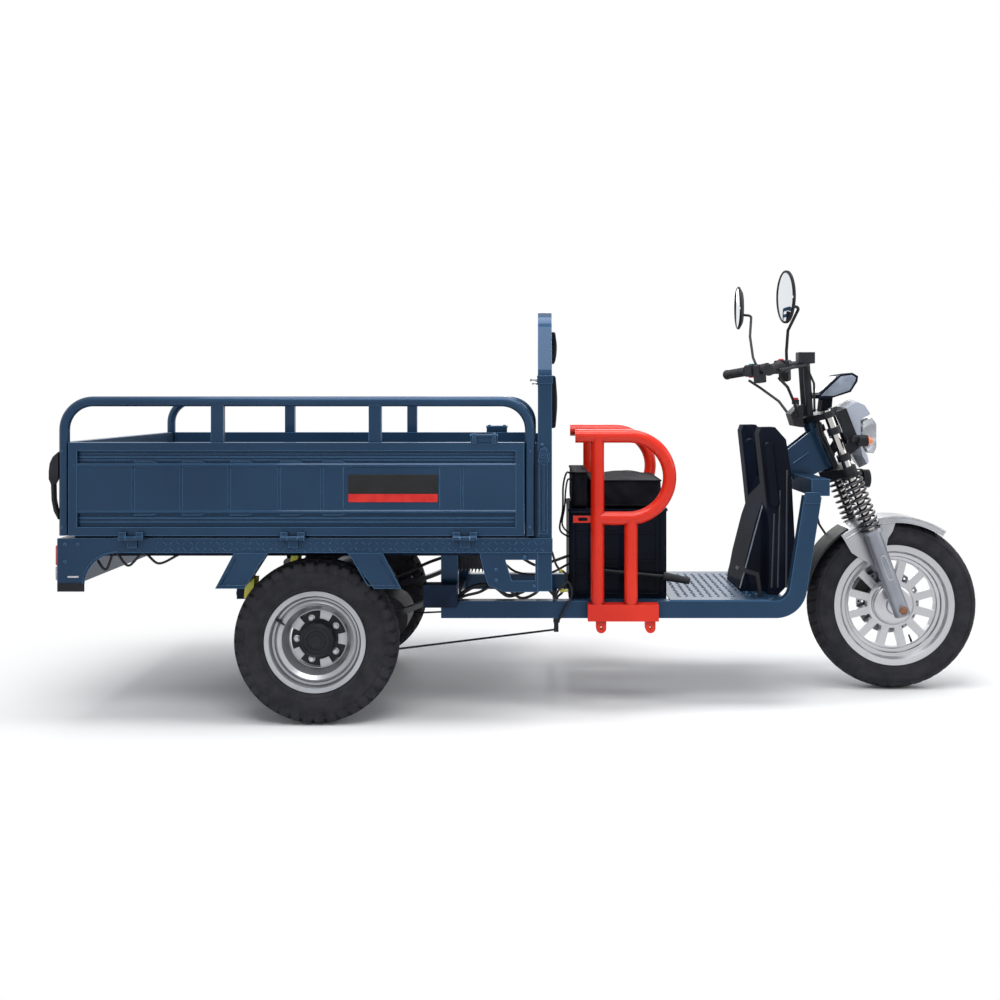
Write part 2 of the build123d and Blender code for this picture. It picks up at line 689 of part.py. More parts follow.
with BuildPart() as mudguard_flap:
    with BuildSketch(side_plane(FRONT_AXLE_X, FENDER_Y, FRONT_TYRE_R)):
        add(arc_band(FENDER_R + FENDER_T + SEAT_GAP, FENDER_R + 10, 122, 170))
    extrude(amount=2 * FENDER_Y)
save(mudguard_flap.part, "mudguard_flap")

with BuildPart() as brake_caliper:
    with BuildSketch(Plane.XZ.offset(-24)):
        with Locations((FRONT_AXLE_X - 88, FRONT_TYRE_R + 56)):
            Rectangle(54, 60, rotation=-32)
    extrude(amount=-38)
    with BuildSketch(Plane.XZ.offset(-DISC_Y + 2)):
        with Locations((FRONT_AXLE_X, FRONT_TYRE_R)):
            Circle(DISC_R + 4)
    extrude(amount=-(DISC_T + 4), mode=Mode.SUBTRACT)
    with Locations(FORK):
        with Locations((-40, 70, 104)):
            Box(70, 16, 24)
    with BuildSketch(FORK.offset(60)):
        with Locations((0, LEG_Y)):
            Circle(SLIDER_R + SEAT_GAP)
    extrude(amount=90, mode=Mode.SUBTRACT)
save(brake_caliper.part, "brake_caliper")

BAR_POINTS = [(739, 1141), (868, 1166), (949, 1172)]
BAR_Y = (GRIP_OUTER_Y, 140.0, 66.0)
bar_half = [(x, y, z) for (x, z), y in zip(BAR_POINTS, BAR_Y)]
bar_path = bar_half + [(x, -y, z) for x, y, z in reversed(bar_half)]
with BuildPart() as handlebar:
    add(bent_tube(bar_path, BAR_R, 60))
    add(bent_tube([fork_point(-FORK_OFFSET, 34, YOKE_HIGH + YOKE_HIGH_T), (949, 34, 1172)], 13, 0))
    add(bent_tube([fork_point(-FORK_OFFSET, -34, YOKE_HIGH + YOKE_HIGH_T), (949, -34, 1172)], 13, 0))
    split(bisect_by=FORK.offset(YOKE_HIGH + YOKE_HIGH_T), keep=Keep.TOP)
save(handlebar.part, "handlebar")

bar_end = Vector(*bar_half[0])
bar_along = (Vector(*bar_half[1]) - bar_end).normalized()
with BuildPart() as grips:
    grip_plane = Plane(origin=bar_end - bar_along * 6, z_dir=bar_along)
    with BuildSketch(grip_plane):
        Circle(GRIP_R)
    extrude(amount=135)
    with BuildSketch(Plane(origin=bar_end - bar_along * SEAT_GAP, z_dir=bar_along)):
        Circle(BAR_R + SEAT_GAP)
    extrude(amount=200, mode=Mode.SUBTRACT)
    mirror(about=Plane.XZ)
save(grips.part, "grips")

with BuildPart() as controls:
    pod_plane = Plane(origin=bar_end + bar_along * 133, x_dir=(0, 0, 1), z_dir=bar_along)
    with BuildSketch(pod_plane):
        RectangleRounded(46, 40, 8)
    extrude(amount=42)
    with BuildSketch(pod_plane.offset(50)):
        with Locations((-18, 0)):
            RectangleRounded(70, 34, 8)
    extrude(amount=34)
    with BuildSketch(pod_plane.offset(90)):
        Circle(19)
    extrude(amount=26)
    perch = bar_end + bar_along * 196
    hinge = perch + Vector(66, 0, 6)
    tip = Vector(hinge.X - 118, GRIP_OUTER_Y - 14, 1140)
    add(bent_tube([perch, hinge], 12, 0))
    add(bent_tube([hinge, hinge + Vector(-4, 34, -4), tip], 5, 20))
    with BuildSketch(Plane(origin=bar_end, x_dir=(0, 0, 1), z_dir=bar_along)):
        Circle(BAR_R + SEAT_GAP)
    extrude(amount=270, mode=Mode.SUBTRACT)
    mirror(about=Plane.XZ)
    with Locations((hinge.X + 6, -hinge.Y, hinge.Z + 22)):
        Box(56, 44, 38)
save(controls.part, "controls")

MIRROR_H = 172.0
MIRROR_W = 112.0
MIRROR_Z = (1377.0, 1410.0)
MIRROR_RIM = 6.0
with BuildPart() as mirrors:
    for sign, height, turn in ((-1, MIRROR_Z[0], 18), (1, MIRROR_Z[1], -2.4)):
        lift = height - MIRROR_Z[0]
        stem = [
            (826, sign * 262, 1180),
            (820, sign * 285, 1206),
            (816, sign * 325, 1274 + lift / 2),
            (836, sign * 400, 1345 + lift),
            (790, sign * 417, 1350 + lift),
        ]
        add(bent_tube(stem, 5, 16))
        face = Plane(
            origin=(785, sign * 420, height),
            x_dir=(sin(radians(turn)) * -sign * -1, 1, 0),
            z_dir=(-cos(radians(turn)), sign * sin(radians(turn)) * 1, 0),
        )
        with BuildSketch(face.offset(-MIRROR_RIM)):
            Ellipse(MIRROR_W / 2, MIRROR_H / 2)
        extrude(amount=MIRROR_RIM)
        with BuildSketch(face.offset(-MIRROR_RIM)):
            Ellipse(MIRROR_W / 2, MIRROR_H / 2)
        with BuildSketch(face.offset(-MIRROR_RIM - 12)):
            Ellipse(MIRROR_W / 2 - 20, MIRROR_H / 2 - 20)
        loft()
save(mirrors.part, "mirrors")

with BuildPart() as control_cables:
    add(bent_tube([(905, -194.2, 1186), (905, -164, 1186), (950, -140, 1100), (966, -84, 1000)], 4, 12))
    for side in (-1, 1):
        add(bent_tube([(800, side * 262, 1116), (838, side * 225, 1086), (884, side * 118, 1036),
                       (912, side * 72, 985), (912, side * 40.3, 985)], 5, 14))
    add(bent_tube([(1012, 36, 690), (1004, 52, 640), (1024, 76, 580), (1078, 84, 500), (1146, 82, 420),
                   (1160, 82, 352), (1160, 62.3, 352)], 4, 10))
save(control_cables.part, "control_cables")

with BuildPart() as headlamp_shell:
    shell_outline = [
        (1062, 1018), (1114, 1046), (1150, 1032), (1172, 1000), (1174, 984), (1140, 966), (1140, 885),
        (1163, 850), (1170, 818), (1150, 795), (1125, 840), (1117, 882), (1099, 929), (1085, 962),
    ]
    with BuildSketch(Plane.XZ):
        with BuildLine():
            Polyline(*shell_outline, close=True)
        make_face()
    extrude(amount=88, both=True, taper=7)
save(headlamp_shell.part, "headlamp_shell")

with BuildPart() as headlamp_lens:
    with BuildSketch(Plane.XZ):
        with BuildLine():
            Polyline((1140.3, 965), (1172, 979), (1188, 956), (1188, 871), (1178, 851), (1164, 852),
                     (1140.3, 886), close=True)
        make_face()
    extrude(amount=78, both=True)
save(headlamp_lens.part, "headlamp_lens")

INDICATOR_X = FRONT_AXLE_X - 180
INDICATOR_Y = 150.0
INDICATOR_Z = 907.0
with BuildPart() as lamp_bracket:
    for up in (560, 660):
        with BuildSketch(FORK.offset(up)):
            with Locations((0, LEG_Y), (0, -LEG_Y)):
                Circle(FORK_TUBE_R + 8)
        extrude(amount=24)
    with BuildSketch(Plane.XZ.offset(88)):
        with BuildLine():
            Polyline((1040, 1000), (1076, 1012), (1108, 930), (1130, 880), (1070, 830), (1062, 860),
                     (1085, 900), close=True)
        make_face()
    extrude(amount=8)
    with BuildSketch(Plane.YZ.offset(INDICATOR_X)):
        with Locations((-INDICATOR_Y, INDICATOR_Z)):
            RectangleRounded(30, 22, 8)
    extrude(amount=20)
    with BuildSketch(Plane.YZ.offset(INDICATOR_X + 16)):
        with Locations((-INDICATOR_Y, INDICATOR_Z - 8)):
            RectangleRounded(50, 40, 18)
    extrude(amount=32)
    with BuildSketch(Plane.XZ.offset(90)):
        with Locations((INDICATOR_X + 10, INDICATOR_Z)):
            Circle(7)
    extrude(amount=INDICATOR_Y - 90)
    mirror(about=Plane.XZ)
    with BuildSketch(FORK.offset(YOKE_LOW)):
        with Locations((0, LEG_Y), (0, -LEG_Y)):
            Circle(FORK_TUBE_R + SEAT_GAP)
    extrude(amount=300, mode=Mode.SUBTRACT)
save(lamp_bracket.part, "lamp_bracket")

with BuildPart() as front_indicators:
    with BuildSketch(Plane.YZ.offset(INDICATOR_X + 48)):
        with Locations((-INDICATOR_Y, INDICATOR_Z - 8)):
            RectangleRounded(46, 36, 16)
    extrude(amount=16, taper=25)
    mirror(about=Plane.XZ)
save(front_indicators.part, "front_indicators")

HORN_SEAT = YOKE_LOW_R
with BuildPart() as horn:
    with BuildSketch(Plane.YZ.offset(1160)):
        with Locations((0, 756)):
            Circle(33)
    extrude(amount=24)
    add(block((1030, 1160), (-12, 12), (787, 791)))
    add(block((1155, 1160), (-12, 12), (750, 791)))
    split(bisect_by=Plane(origin=fork_point(HORN_SEAT, 0, YOKE_LOW), z_dir=FORK_FORWARD), keep=Keep.TOP)
save(horn.part, "horn")

with BuildPart() as instrument_pod:
    with BuildSketch(Plane.XZ):
        with BuildLine():
            Polyline((985, 1060), (1062, 1132), (1105, 1139), (1126, 1127), (1124, 1108),
                     (1100, 1070), (1038, 1050), (985, 1046), close=True)
        make_face()
    extrude(amount=68, both=True)
    with BuildSketch(Plane.XZ):
        with BuildLine():
            Polyline((1010, 1054), (1046, 1054), (1040, 985), (1004, 1003), close=True)
        make_face()
    extrude(amount=30, both=True)
    split(bisect_by=FORK.offset(YOKE_HIGH + YOKE_HIGH_T), keep=Keep.TOP)
save(instrument_pod.part, "instrument_pod")

# ---------------------------------------------------------------- load bed
with BuildPart() as bed_subframe:
    upper_span = (BED_REAR_X + 41, BED_FRONT_X - 2)
    add(block(upper_span, (-RAIL_OUT_Y, -RAIL_IN_Y), (UPPER_RAIL_Z, BEARER_LOW)))
    mirror(about=Plane.XZ)
    for x in BEARER_X:
        add(block((x - 20, x + 20), (-SKIRT_Y + 4.3, SKIRT_Y - 4.3), (BEARER_LOW, DECK_Z)))
save(bed_subframe.part, "bed_subframe")

with BuildPart() as bed_floor:
    add(block((BED_REAR_X + 4, BED_FRONT_X), (-SKIRT_Y + 4, SKIRT_Y - 4), (DECK_Z, DECK_TOP)))
save(bed_floor.part, "bed_floor")

with BuildPart() as bed_skirts:
    with BuildSketch(Plane.XZ.offset(SKIRT_Y - 4)):
        with BuildLine():
            corner_x = BED_REAR_X + CORNER_W
            Polyline((corner_x + 110, BEARER_LOW), (BED_FRONT_X + 47, BEARER_LOW),
                     (BED_FRONT_X + 47, DECK_TOP), (BED_REAR_X, DECK_TOP), (BED_REAR_X, CORNER_Z),
                     (corner_x, CORNER_Z), (corner_x, CORNER_Z + 22))
            RadiusArc((corner_x, CORNER_Z + 22), (corner_x + 110, BEARER_LOW), 110)
        make_face()
    extrude(amount=4)
    with BuildSketch(Plane.XZ.offset(HEAD_OUT_Y - 5)):
        with BuildLine():
            Polyline((BED_FRONT_X, BEARER_LOW), (-203, BEARER_LOW), (-188, 493), (-175, 454), (-122, 433),
                     (BED_FRONT_X, 433), close=True)
        make_face()
        with BuildLine():
            Polyline((-121, 535), (-101, 469), (BED_FRONT_X - 8, 469), (BED_FRONT_X - 8, 535), close=True)
        make_face(mode=Mode.SUBTRACT)
    extrude(amount=BED_BRACKET_T)
    mirror(about=Plane.XZ)
    add(block((BED_REAR_X, BED_REAR_X + 4), (-SKIRT_Y + 4, SKIRT_Y - 4), (CORNER_Z, DECK_Z)))
save(bed_skirts.part, "bed_skirts")

side_panel = pressed_panel(
    GATE_REAR_X + RAIL_LEG_W, GATE_FRONT_X - RAIL_LEG_W, SIDE_RIBS, GATE_BOTTOM, GATE_TOP, GATE_T, PLATE_PAD
)
with BuildPart() as side_gate_right:
    with Locations((0, -BED_OUT_Y, 0)):
        add(side_panel)
    for x in HINGE_X:
        for side in (-1, 1):
            middle = x + side * (KNUCKLE / 2 + KNUCKLE_GAP + SIDE_KNUCKLE / 2)
            add(hinge_barrel(middle, SIDE_KNUCKLE, HINGE_BARREL_R))
            leaf = (middle - SIDE_KNUCKLE / 2, middle + SIDE_KNUCKLE / 2)
            add(block(leaf, (-HINGE_Y - 2, -BED_OUT_Y), (HINGE_Z, GATE_BOTTOM + HINGE_LEAF)))
        with BuildSketch(Plane.YZ.offset(x - 60)):
            with Locations((-HINGE_Y, HINGE_Z)):
                Circle(HINGE_PIN_R + RUNNING_GAP)
        extrude(amount=120, mode=Mode.SUBTRACT)
save(side_gate_right.part, "side_gate_right")

with BuildPart() as side_rail_right:
    rail_y = -(BED_OUT_Y - RAIL_TUBE_R + 2)
    rear_leg = GATE_REAR_X + RAIL_TUBE_R + 2
    front_leg = GATE_FRONT_X - RAIL_TUBE_R - 2
    rail_z = RAIL_TUBE_TOP - RAIL_TUBE_R
    loop = [(rear_leg, rail_y, GATE_BOTTOM), (rear_leg, rail_y, rail_z), (front_leg, rail_y, rail_z),
            (front_leg, rail_y, GATE_BOTTOM)]
    add(bent_tube(loop, RAIL_TUBE_R, 90))
    for x in RAIL_POSTS:
        add(block((x - 20, x + 20), (-BED_OUT_Y + 4, -BED_OUT_Y + 24), (GATE_TOP, rail_z)))
save(side_rail_right.part, "side_rail_right")

TAIL_Y = GATE_IN_Y - GATE_GAP
TAIL_HINGE_Y = (-300.0, 300.0)


def tail_barrel(y, length, radius):
    """A barrel lying along Y on the tailgate's hinge line."""
    with BuildPart() as barrel:
        with BuildSketch(Plane.XZ.offset(-y - length / 2)):
            with Locations((TAIL_HINGE_X, HINGE_Z)):
                Circle(radius)
        extrude(amount=length)
    return barrel.part


tail_panel = pressed_panel(-TAIL_Y, TAIL_Y, TAIL_RIBS, GATE_BOTTOM, GATE_TOP, GATE_T)
with BuildPart() as tailgate:
    with Locations(Location((BED_REAR_X + 1, 0, 0), (0, 0, -90))):
        add(tail_panel)
    for y in TAIL_HINGE_Y:
        for side in (-1, 1):
            middle = y + side * (KNUCKLE / 2 + KNUCKLE_GAP + SIDE_KNUCKLE / 2)
            add(tail_barrel(middle, SIDE_KNUCKLE, HINGE_BARREL_R))
            leaf = (middle - SIDE_KNUCKLE / 2, middle + SIDE_KNUCKLE / 2)
            add(block((TAIL_HINGE_X - 2, BED_REAR_X + 1), leaf, (HINGE_Z, GATE_BOTTOM + HINGE_LEAF)))
        with BuildSketch(Plane.XZ.offset(-y - 60)):
            with Locations((TAIL_HINGE_X, HINGE_Z)):
                Circle(HINGE_PIN_R + RUNNING_GAP)
        extrude(amount=120, mode=Mode.SUBTRACT)
save(tailgate.part, "tailgate")

with BuildPart() as gate_latch_right:
    with BuildSketch(Plane.XZ.offset(GATE_IN_Y + 3)):
        with BuildLine():
            Polyline((LATCH_SEAT_X, 878), (LATCH_TIP_X + 12, 862), (LATCH_TIP_X + 3, 842), (LATCH_TIP_X, 818),
                     (LATCH_TIP_X, 792), (LATCH_TIP_X + 7, 776), (LATCH_TIP_X + 9, 725), (LATCH_TIP_X + 16, 690),
                     (LATCH_SEAT_X, 664), (LATCH_SEAT_X, 678), (LATCH_TIP_X + 23, 698), (LATCH_TIP_X + 17, 728),
                     (LATCH_TIP_X + 16, 776), (LATCH_SEAT_X, 800), close=True)
        make_face()
    extrude(amount=22)
save(gate_latch_right.part, "gate_latch_right")

with BuildPart() as post_latches:
    latch_x = BED_FRONT_X + 18
    with BuildSketch(Plane.XZ.offset(HEAD_OUT_Y)):
        with BuildLine():
            Polyline((latch_x - 18, 846), (latch_x - 9, 888), (latch_x + 9, 888), (latch_x + 18, 846), close=True)
        make_face()
        with Locations((latch_x, 866)):
            Circle(5, mode=Mode.SUBTRACT)
    extrude(amount=6)
    add(block((latch_x - 14, latch_x + 14), (-HEAD_OUT_Y - 5, -HEAD_OUT_Y), (618, 846)))
    with BuildSketch(Plane.XY.offset(630)):
        with Locations((latch_x, -HEAD_OUT_Y - 7)):
            Circle(6)
    extrude(amount=210)
    mirror(about=Plane.XZ)
save(post_latches.part, "post_latches")

with BuildPart() as tail_lamps:
    add(block((BED_REAR_X - 5, BED_REAR_X), (-475, -395), (489, 574)))
    mirror(about=Plane.XZ)
save(tail_lamps.part, "tail_lamps")

with BuildPart() as headboard:
    post = HEAD_OUT_Y - HEAD_TUBE_SIDE / 2
    top = HEAD_TOP_Z - HEAD_TUBE_SIDE / 2
    post_x = BED_FRONT_X + HEAD_TUBE_SIDE / 2
    with BuildLine() as arch:
        FilletPolyline((post_x, -post, CORNER_Z), (post_x, -post, HEAD_BEND_Z), (post_x, -HEAD_TOP_Y, top),
                       (post_x, HEAD_TOP_Y, top), (post_x, post, HEAD_BEND_Z), (post_x, post, CORNER_Z),
                       radius=70)
    with BuildSketch(Plane.XY.offset(CORNER_Z)):
        with Locations((post_x, -post)):
            Rectangle(HEAD_TUBE_SIDE, HEAD_TUBE_SIDE)
    sweep(path=arch.line)
    for z in (DECK_TOP + 20, GATE_TOP - 20, 1035.0, 1230.0):
        width = post if z < HEAD_BEND_Z else 430.0
        add(block((post_x - 15, post_x + 15), (-width, width), (z - 20, z + 20)))
    add(block((post_x - 3, post_x + 3), (-post, post), (DECK_TOP, GATE_TOP)))
save(headboard.part, "headboard")

with BuildPart() as backrest_pads:
    for low, high, width in ((940.0, 1130.0, 210.0), (1172.0, 1284.0, 150.0)):
        add(block((BED_FRONT_X + 38, BED_FRONT_X + 65), (-width, width), (low, high)))
save(backrest_pads.part, "backrest_pads")

# ---------------------------------------------------------------- seat, guards, shields
with BuildPart() as seat_box:
    add(block((SEAT_BOX_REAR, SEAT_BOX_FRONT), (-SEAT_BOX_Y, SEAT_BOX_Y), (SEAT_BOX_LOW, SEAT_BOX_TOP - 8)))
    fillet(seat_box.edges().filter_by(Axis.Z), 14)
    recess = (SEAT_BOX_REAR + 22, SEAT_BOX_FRONT - 38)
    for side in (-1, 1):
        with BuildSketch(Plane.XZ.offset(side * (SEAT_BOX_Y - 4))):
            with Locations((sum(recess) / 2, 500)):
                Rectangle(recess[1] - recess[0], 250)
            with Locations(*[(sum(recess) / 2, z) for z in SEAT_RIBS]):
                Rectangle(recess[1] - recess[0], 7, mode=Mode.SUBTRACT)
        extrude(amount=side * 6, mode=Mode.SUBTRACT)
    with BuildSketch(Plane.XY.offset(SEAT_BOX_TOP - 8)):
        with Locations(((SEAT_BOX_REAR + SEAT_BOX_FRONT) / 2, 0)):
            RectangleRounded(SEAT_BOX_FRONT - SEAT_BOX_REAR + 8, 2 * SEAT_BOX_Y + 8, 18)
    extrude(amount=8)
save(seat_box.part, "seat_box")

BACK_TOP = SEAT_BOX_TOP + 132
SQUAB_TOP = SEAT_BOX_TOP + 106
with BuildPart() as seat_cushion:
    back = (SEAT_BOX_REAR + 7, SEAT_BOX_REAR + 70)
    squab = (SEAT_BOX_REAR + 71, SEAT_BOX_FRONT - 12)
    for span, top, radius in ((back, BACK_TOP, 12), (squab, SQUAB_TOP, 22)):
        with BuildSketch(Plane.XZ):
            with Locations((sum(span) / 2, (SEAT_BOX_TOP + SEAT_GAP + top) / 2)):
                RectangleRounded(span[1] - span[0], top - SEAT_BOX_TOP - SEAT_GAP, radius)
        extrude(amount=SEAT_BOX_Y - 5, both=True)
save(seat_cushion.part, "seat_cushion")

GUARD_Y = RAIL_OUT_Y + GUARD_R + 0.5
with BuildPart() as seat_guards:
    with BuildLine() as loop_path:
        Line((GUARD_TIP_X, -GUARD_Y, GUARD_LOOP_Z + GUARD_LOOP_R), (GUARD_LOOP_X, -GUARD_Y, GUARD_LOOP_Z + GUARD_LOOP_R))
        ThreePointArc(
            (GUARD_LOOP_X, -GUARD_Y, GUARD_LOOP_Z + GUARD_LOOP_R),
            (GUARD_LOOP_X + GUARD_LOOP_R, -GUARD_Y, GUARD_LOOP_Z),
            (GUARD_LOOP_X, -GUARD_Y, GUARD_LOOP_Z - GUARD_LOOP_R),
        )
        Line((GUARD_LOOP_X, -GUARD_Y, GUARD_LOOP_Z - GUARD_LOOP_R), (GUARD_REAR_X, -GUARD_Y, GUARD_LOOP_Z - GUARD_LOOP_R))
    with BuildSketch(Plane(origin=loop_path.line @ 0, z_dir=loop_path.line % 0)):
        Circle(GUARD_R)
    sweep(path=loop_path.line)
    for x, top in ((GUARD_REAR_X, GUARD_LOOP_Z + GUARD_LOOP_R), (GUARD_FRONT_X, GUARD_LOOP_Z - GUARD_LOOP_R)):
        with BuildSketch(Plane.XY.offset(RAIL_TOP - 6)):
            with Locations((x, -GUARD_Y)):
                Circle(GUARD_R)
        extrude(amount=top - RAIL_TOP + 6)
    add(block((148, 384), (-RAIL_OUT_Y - 46, -RAIL_OUT_Y), (RAIL_LOW - 2, RAIL_TOP - 4)))
    for x in LUG_X:
        for inner_y in (RAIL_OUT_Y + 4, RAIL_OUT_Y + 30):
            with BuildSketch(Plane.XZ.offset(inner_y)):
                with Locations((x, LUG_Z + 16)):
                    Rectangle(2 * LUG_R, 32)
                with Locations((x, LUG_Z)):
                    Circle(LUG_R)
                    Circle(LUG_BORE_R, mode=Mode.SUBTRACT)
            extrude(amount=LUG_T)
    with BuildSketch(Plane.XZ.offset(GUARD_Y - 3)):
        with Locations((132, 643.5)):
            Rectangle(64, 23)
            SlotOverall(32, 12, mode=Mode.SUBTRACT)
    extrude(amount=6)
    mirror(about=Plane.XZ)
save(seat_guards.part, "seat_guards")

WING = [(744, 925), (752, 947), (800, 948), (838, 905), (856, 790), (868, 560), (860, 420),
        (812, SHIELD_LOW), (778, SHIELD_LOW), (780, 582), (762, 760)]
APRON = [(796, 757), (846, 757), (860, 560), (852, 420), (812, SHIELD_LOW), (691, SHIELD_LOW),
         (712, 480), (745, 610)]


def moulding(outline, inner, outer):
    """A shell of one wall from a side-view outline, between two distances to the right, open in front."""
    with BuildPart() as shell:
        with BuildSketch(Plane.XZ.offset(inner)):
            with BuildLine():
                Polyline(*outline, close=True)
            make_face()
        extrude(amount=outer - inner)
        offset(amount=-SHIELD_T, openings=shell.faces().filter_by(lambda f: f.normal_at().X > 0.7))
    return shell.part


with BuildPart() as leg_shields:
    add(moulding(WING, SHIELD_IN_Y, SHIELD_OUT_Y))
    mirror(about=Plane.XZ)
    add(moulding(APRON, -SHIELD_IN_Y - SHIELD_T, SHIELD_IN_Y + SHIELD_T))
    for face_y in (SHIELD_OUT_Y, SHIELD_IN_Y):
        out = 1 if face_y == SHIELD_OUT_Y else -1
        with BuildSketch(Plane.XZ.offset(face_y)):
            with Locations((786, 784)):
                RectangleRounded(38, 232, 18.5, rotation=5.8)
        extrude(amount=out * SHIELD_RIB)
        with BuildSketch(Plane.XZ.offset(-face_y)):
            with Locations((786, 784)):
                RectangleRounded(38, 232, 18.5, rotation=5.8)
        extrude(amount=-out * SHIELD_RIB)
save(leg_shields.part, "leg_shields")

FLAP_LOW = 445.0
FLAP_IN_Y = 376.0
LINK_X = 45.0
LINK_Z = RAIL_LOW - 10.0
ROD_Y = 200.0
with BuildPart() as brake_linkage:
    add(bent_tube([(LINK_X, -RAIL_IN_Y - 16, LINK_Z), (LINK_X, RAIL_IN_Y + 16, LINK_Z)], 9, 0))
    for y in (-RAIL_IN_Y - 12, RAIL_IN_Y + 12):
        add(block((LINK_X - 11, LINK_X + 11), (y - 4, y + 4), (LINK_Z - 10, RAIL_LOW)))
    for side in (-1, 1):
        rod_end = Vector(REAR_AXLE_X, side * (HALF_TRACK - 81), REAR_TYRE_R - 80)
        arm_y = sorted((side * (ROD_Y - 5), side * (ROD_Y + 5)))
        lever_y = sorted((side * (HALF_TRACK - 86), side * (HALF_TRACK - 77)))
        add(bent_tube([(LINK_X, side * ROD_Y, LINK_Z - 48), rod_end], 3.5, 0))
        add(block((LINK_X - 8, LINK_X + 8), arm_y, (LINK_Z - 56, LINK_Z)))
        add(block((REAR_AXLE_X - 9, REAR_AXLE_X + 9), lever_y, (rod_end.Z - 8, REAR_TYRE_R - AXLE_TUBE_R - 4)))
    with BuildSketch(Plane.XZ.offset(PEDAL_Y - 4)):
        with BuildLine():
            Polyline((748, RAIL_TOP + FLOOR_T), (736, RAIL_TOP + FLOOR_T), (726, 440), (664, 463), (668, 474),
                     (736, 452), close=True)
        make_face()
    extrude(amount=8)
    with BuildSketch(Plane.XZ.offset(PEDAL_Y - 22)):
        with BuildLine():
            Polyline((660, 464), (712, 447), (715, 455), (663, 473), close=True)
        make_face()
    extrude(amount=44)
save(brake_linkage.part, "brake_linkage")

with BuildPart() as parking_lever:
    add(bent_tube([(182, -SEAT_BOX_Y - 18, 459), (422, -SEAT_BOX_Y - 18, 436)], 5, 0))
    grip_start = Vector(412, -SEAT_BOX_Y - 18, 437)
    with BuildSketch(Plane(origin=grip_start, x_dir=(0, 1, 0), z_dir=(92, 0, -17))):
        Circle(15)
    extrude(amount=92, taper=2)
    with Locations(Plane.XZ):
        with Locations((182, 459, SEAT_BOX_Y + 12)):
            Cylinder(12, 24)
save(parking_lever.part, "parking_lever")

with BuildPart() as rear_mudguards:
    for top, low in (((-248, -141), (-308, -215)), ((112, 223), (195, 281))):
        flap = [(REAR_AXLE_X + top[0], BEARER_LOW), (REAR_AXLE_X + top[1], BEARER_LOW),
                (REAR_AXLE_X + low[1], FLAP_LOW), (REAR_AXLE_X + low[0], FLAP_LOW)]
        add(side_plate(flap, SKIRT_Y, 3))
    for top, low in ((-160, -232), (144, 224)):
        sheet = [(REAR_AXLE_X + top, BEARER_LOW), (REAR_AXLE_X + top + 3, BEARER_LOW),
                 (REAR_AXLE_X + low + 3, FLAP_LOW), (REAR_AXLE_X + low, FLAP_LOW)]
        add(side_plate(sheet, FLAP_IN_Y, SKIRT_Y - FLAP_IN_Y))
    mirror(about=Plane.XZ)
save(rear_mudguards.part, "rear_mudguards")

with BuildPart() as ignition_box:
    with BuildSketch(Plane.XZ):
        with BuildLine():
            Polyline((922, 1022), (938, 1026), (938, 942), (905, 948), (891, 991), close=True)
        make_face()
    extrude(amount=40, both=True)
    with BuildSketch(Plane.XY.offset(1018)):
        with Locations((924, 0)):
            Circle(13)
    extrude(amount=22)
    with BuildSketch(FORK.offset(YOKE_HIGH - 60)):
        with Locations((-FORK_OFFSET, 0)):
            Circle(YOKE_STEM_R + SEAT_GAP)
    extrude(amount=160, mode=Mode.SUBTRACT)
save(ignition_box.part, "ignition_box")

# ---------------------------------------------------------------- hinges and latches
with BuildPart() as gate_hinges:
    for x in HINGE_X:
        add(hinge_barrel(x, KNUCKLE, HINGE_BARREL_R))
        add(hinge_barrel(x, KNUCKLE + 2 * (SIDE_KNUCKLE + KNUCKLE_GAP), HINGE_PIN_R))
        add(block((x - KNUCKLE / 2, x + KNUCKLE / 2), (-HINGE_Y + 7, -SKIRT_Y), (HINGE_Z - 32, HINGE_Z - 2)))
    mirror(about=Plane.XZ)
    for y in TAIL_HINGE_Y:
        add(tail_barrel(y, KNUCKLE, HINGE_BARREL_R))
        add(tail_barrel(y, KNUCKLE + 2 * (SIDE_KNUCKLE + KNUCKLE_GAP), HINGE_PIN_R))
        strap_y = (y - KNUCKLE / 2, y + KNUCKLE / 2)
        add(block((TAIL_HINGE_X - 7, BED_REAR_X), strap_y, (HINGE_Z - 32, HINGE_Z - 2)))
save(gate_hinges.part, "gate_hinges")

for right_part, name in (
    (side_gate_right.part, "side_gate_left"),
    (side_rail_right.part, "side_rail_left"),
    (gate_latch_right.part, "gate_latch_left"),
):
    with BuildPart() as left_piece:
        add(right_part)
        mirror(about=Plane.XZ, mode=Mode.REPLACE)
    save(left_piece.part, name)
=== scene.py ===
"""Looks of an electric cargo tricycle, built round its CAD frame.

Everything is in metres: X forward, Y to the left, Z up, with the floor at Z = 0. New pieces are
surfaces worked out with numpy. Most are lofts: equal rings of points, joined ring to ring.
"""

from math import cos, pi, radians, sin, tau

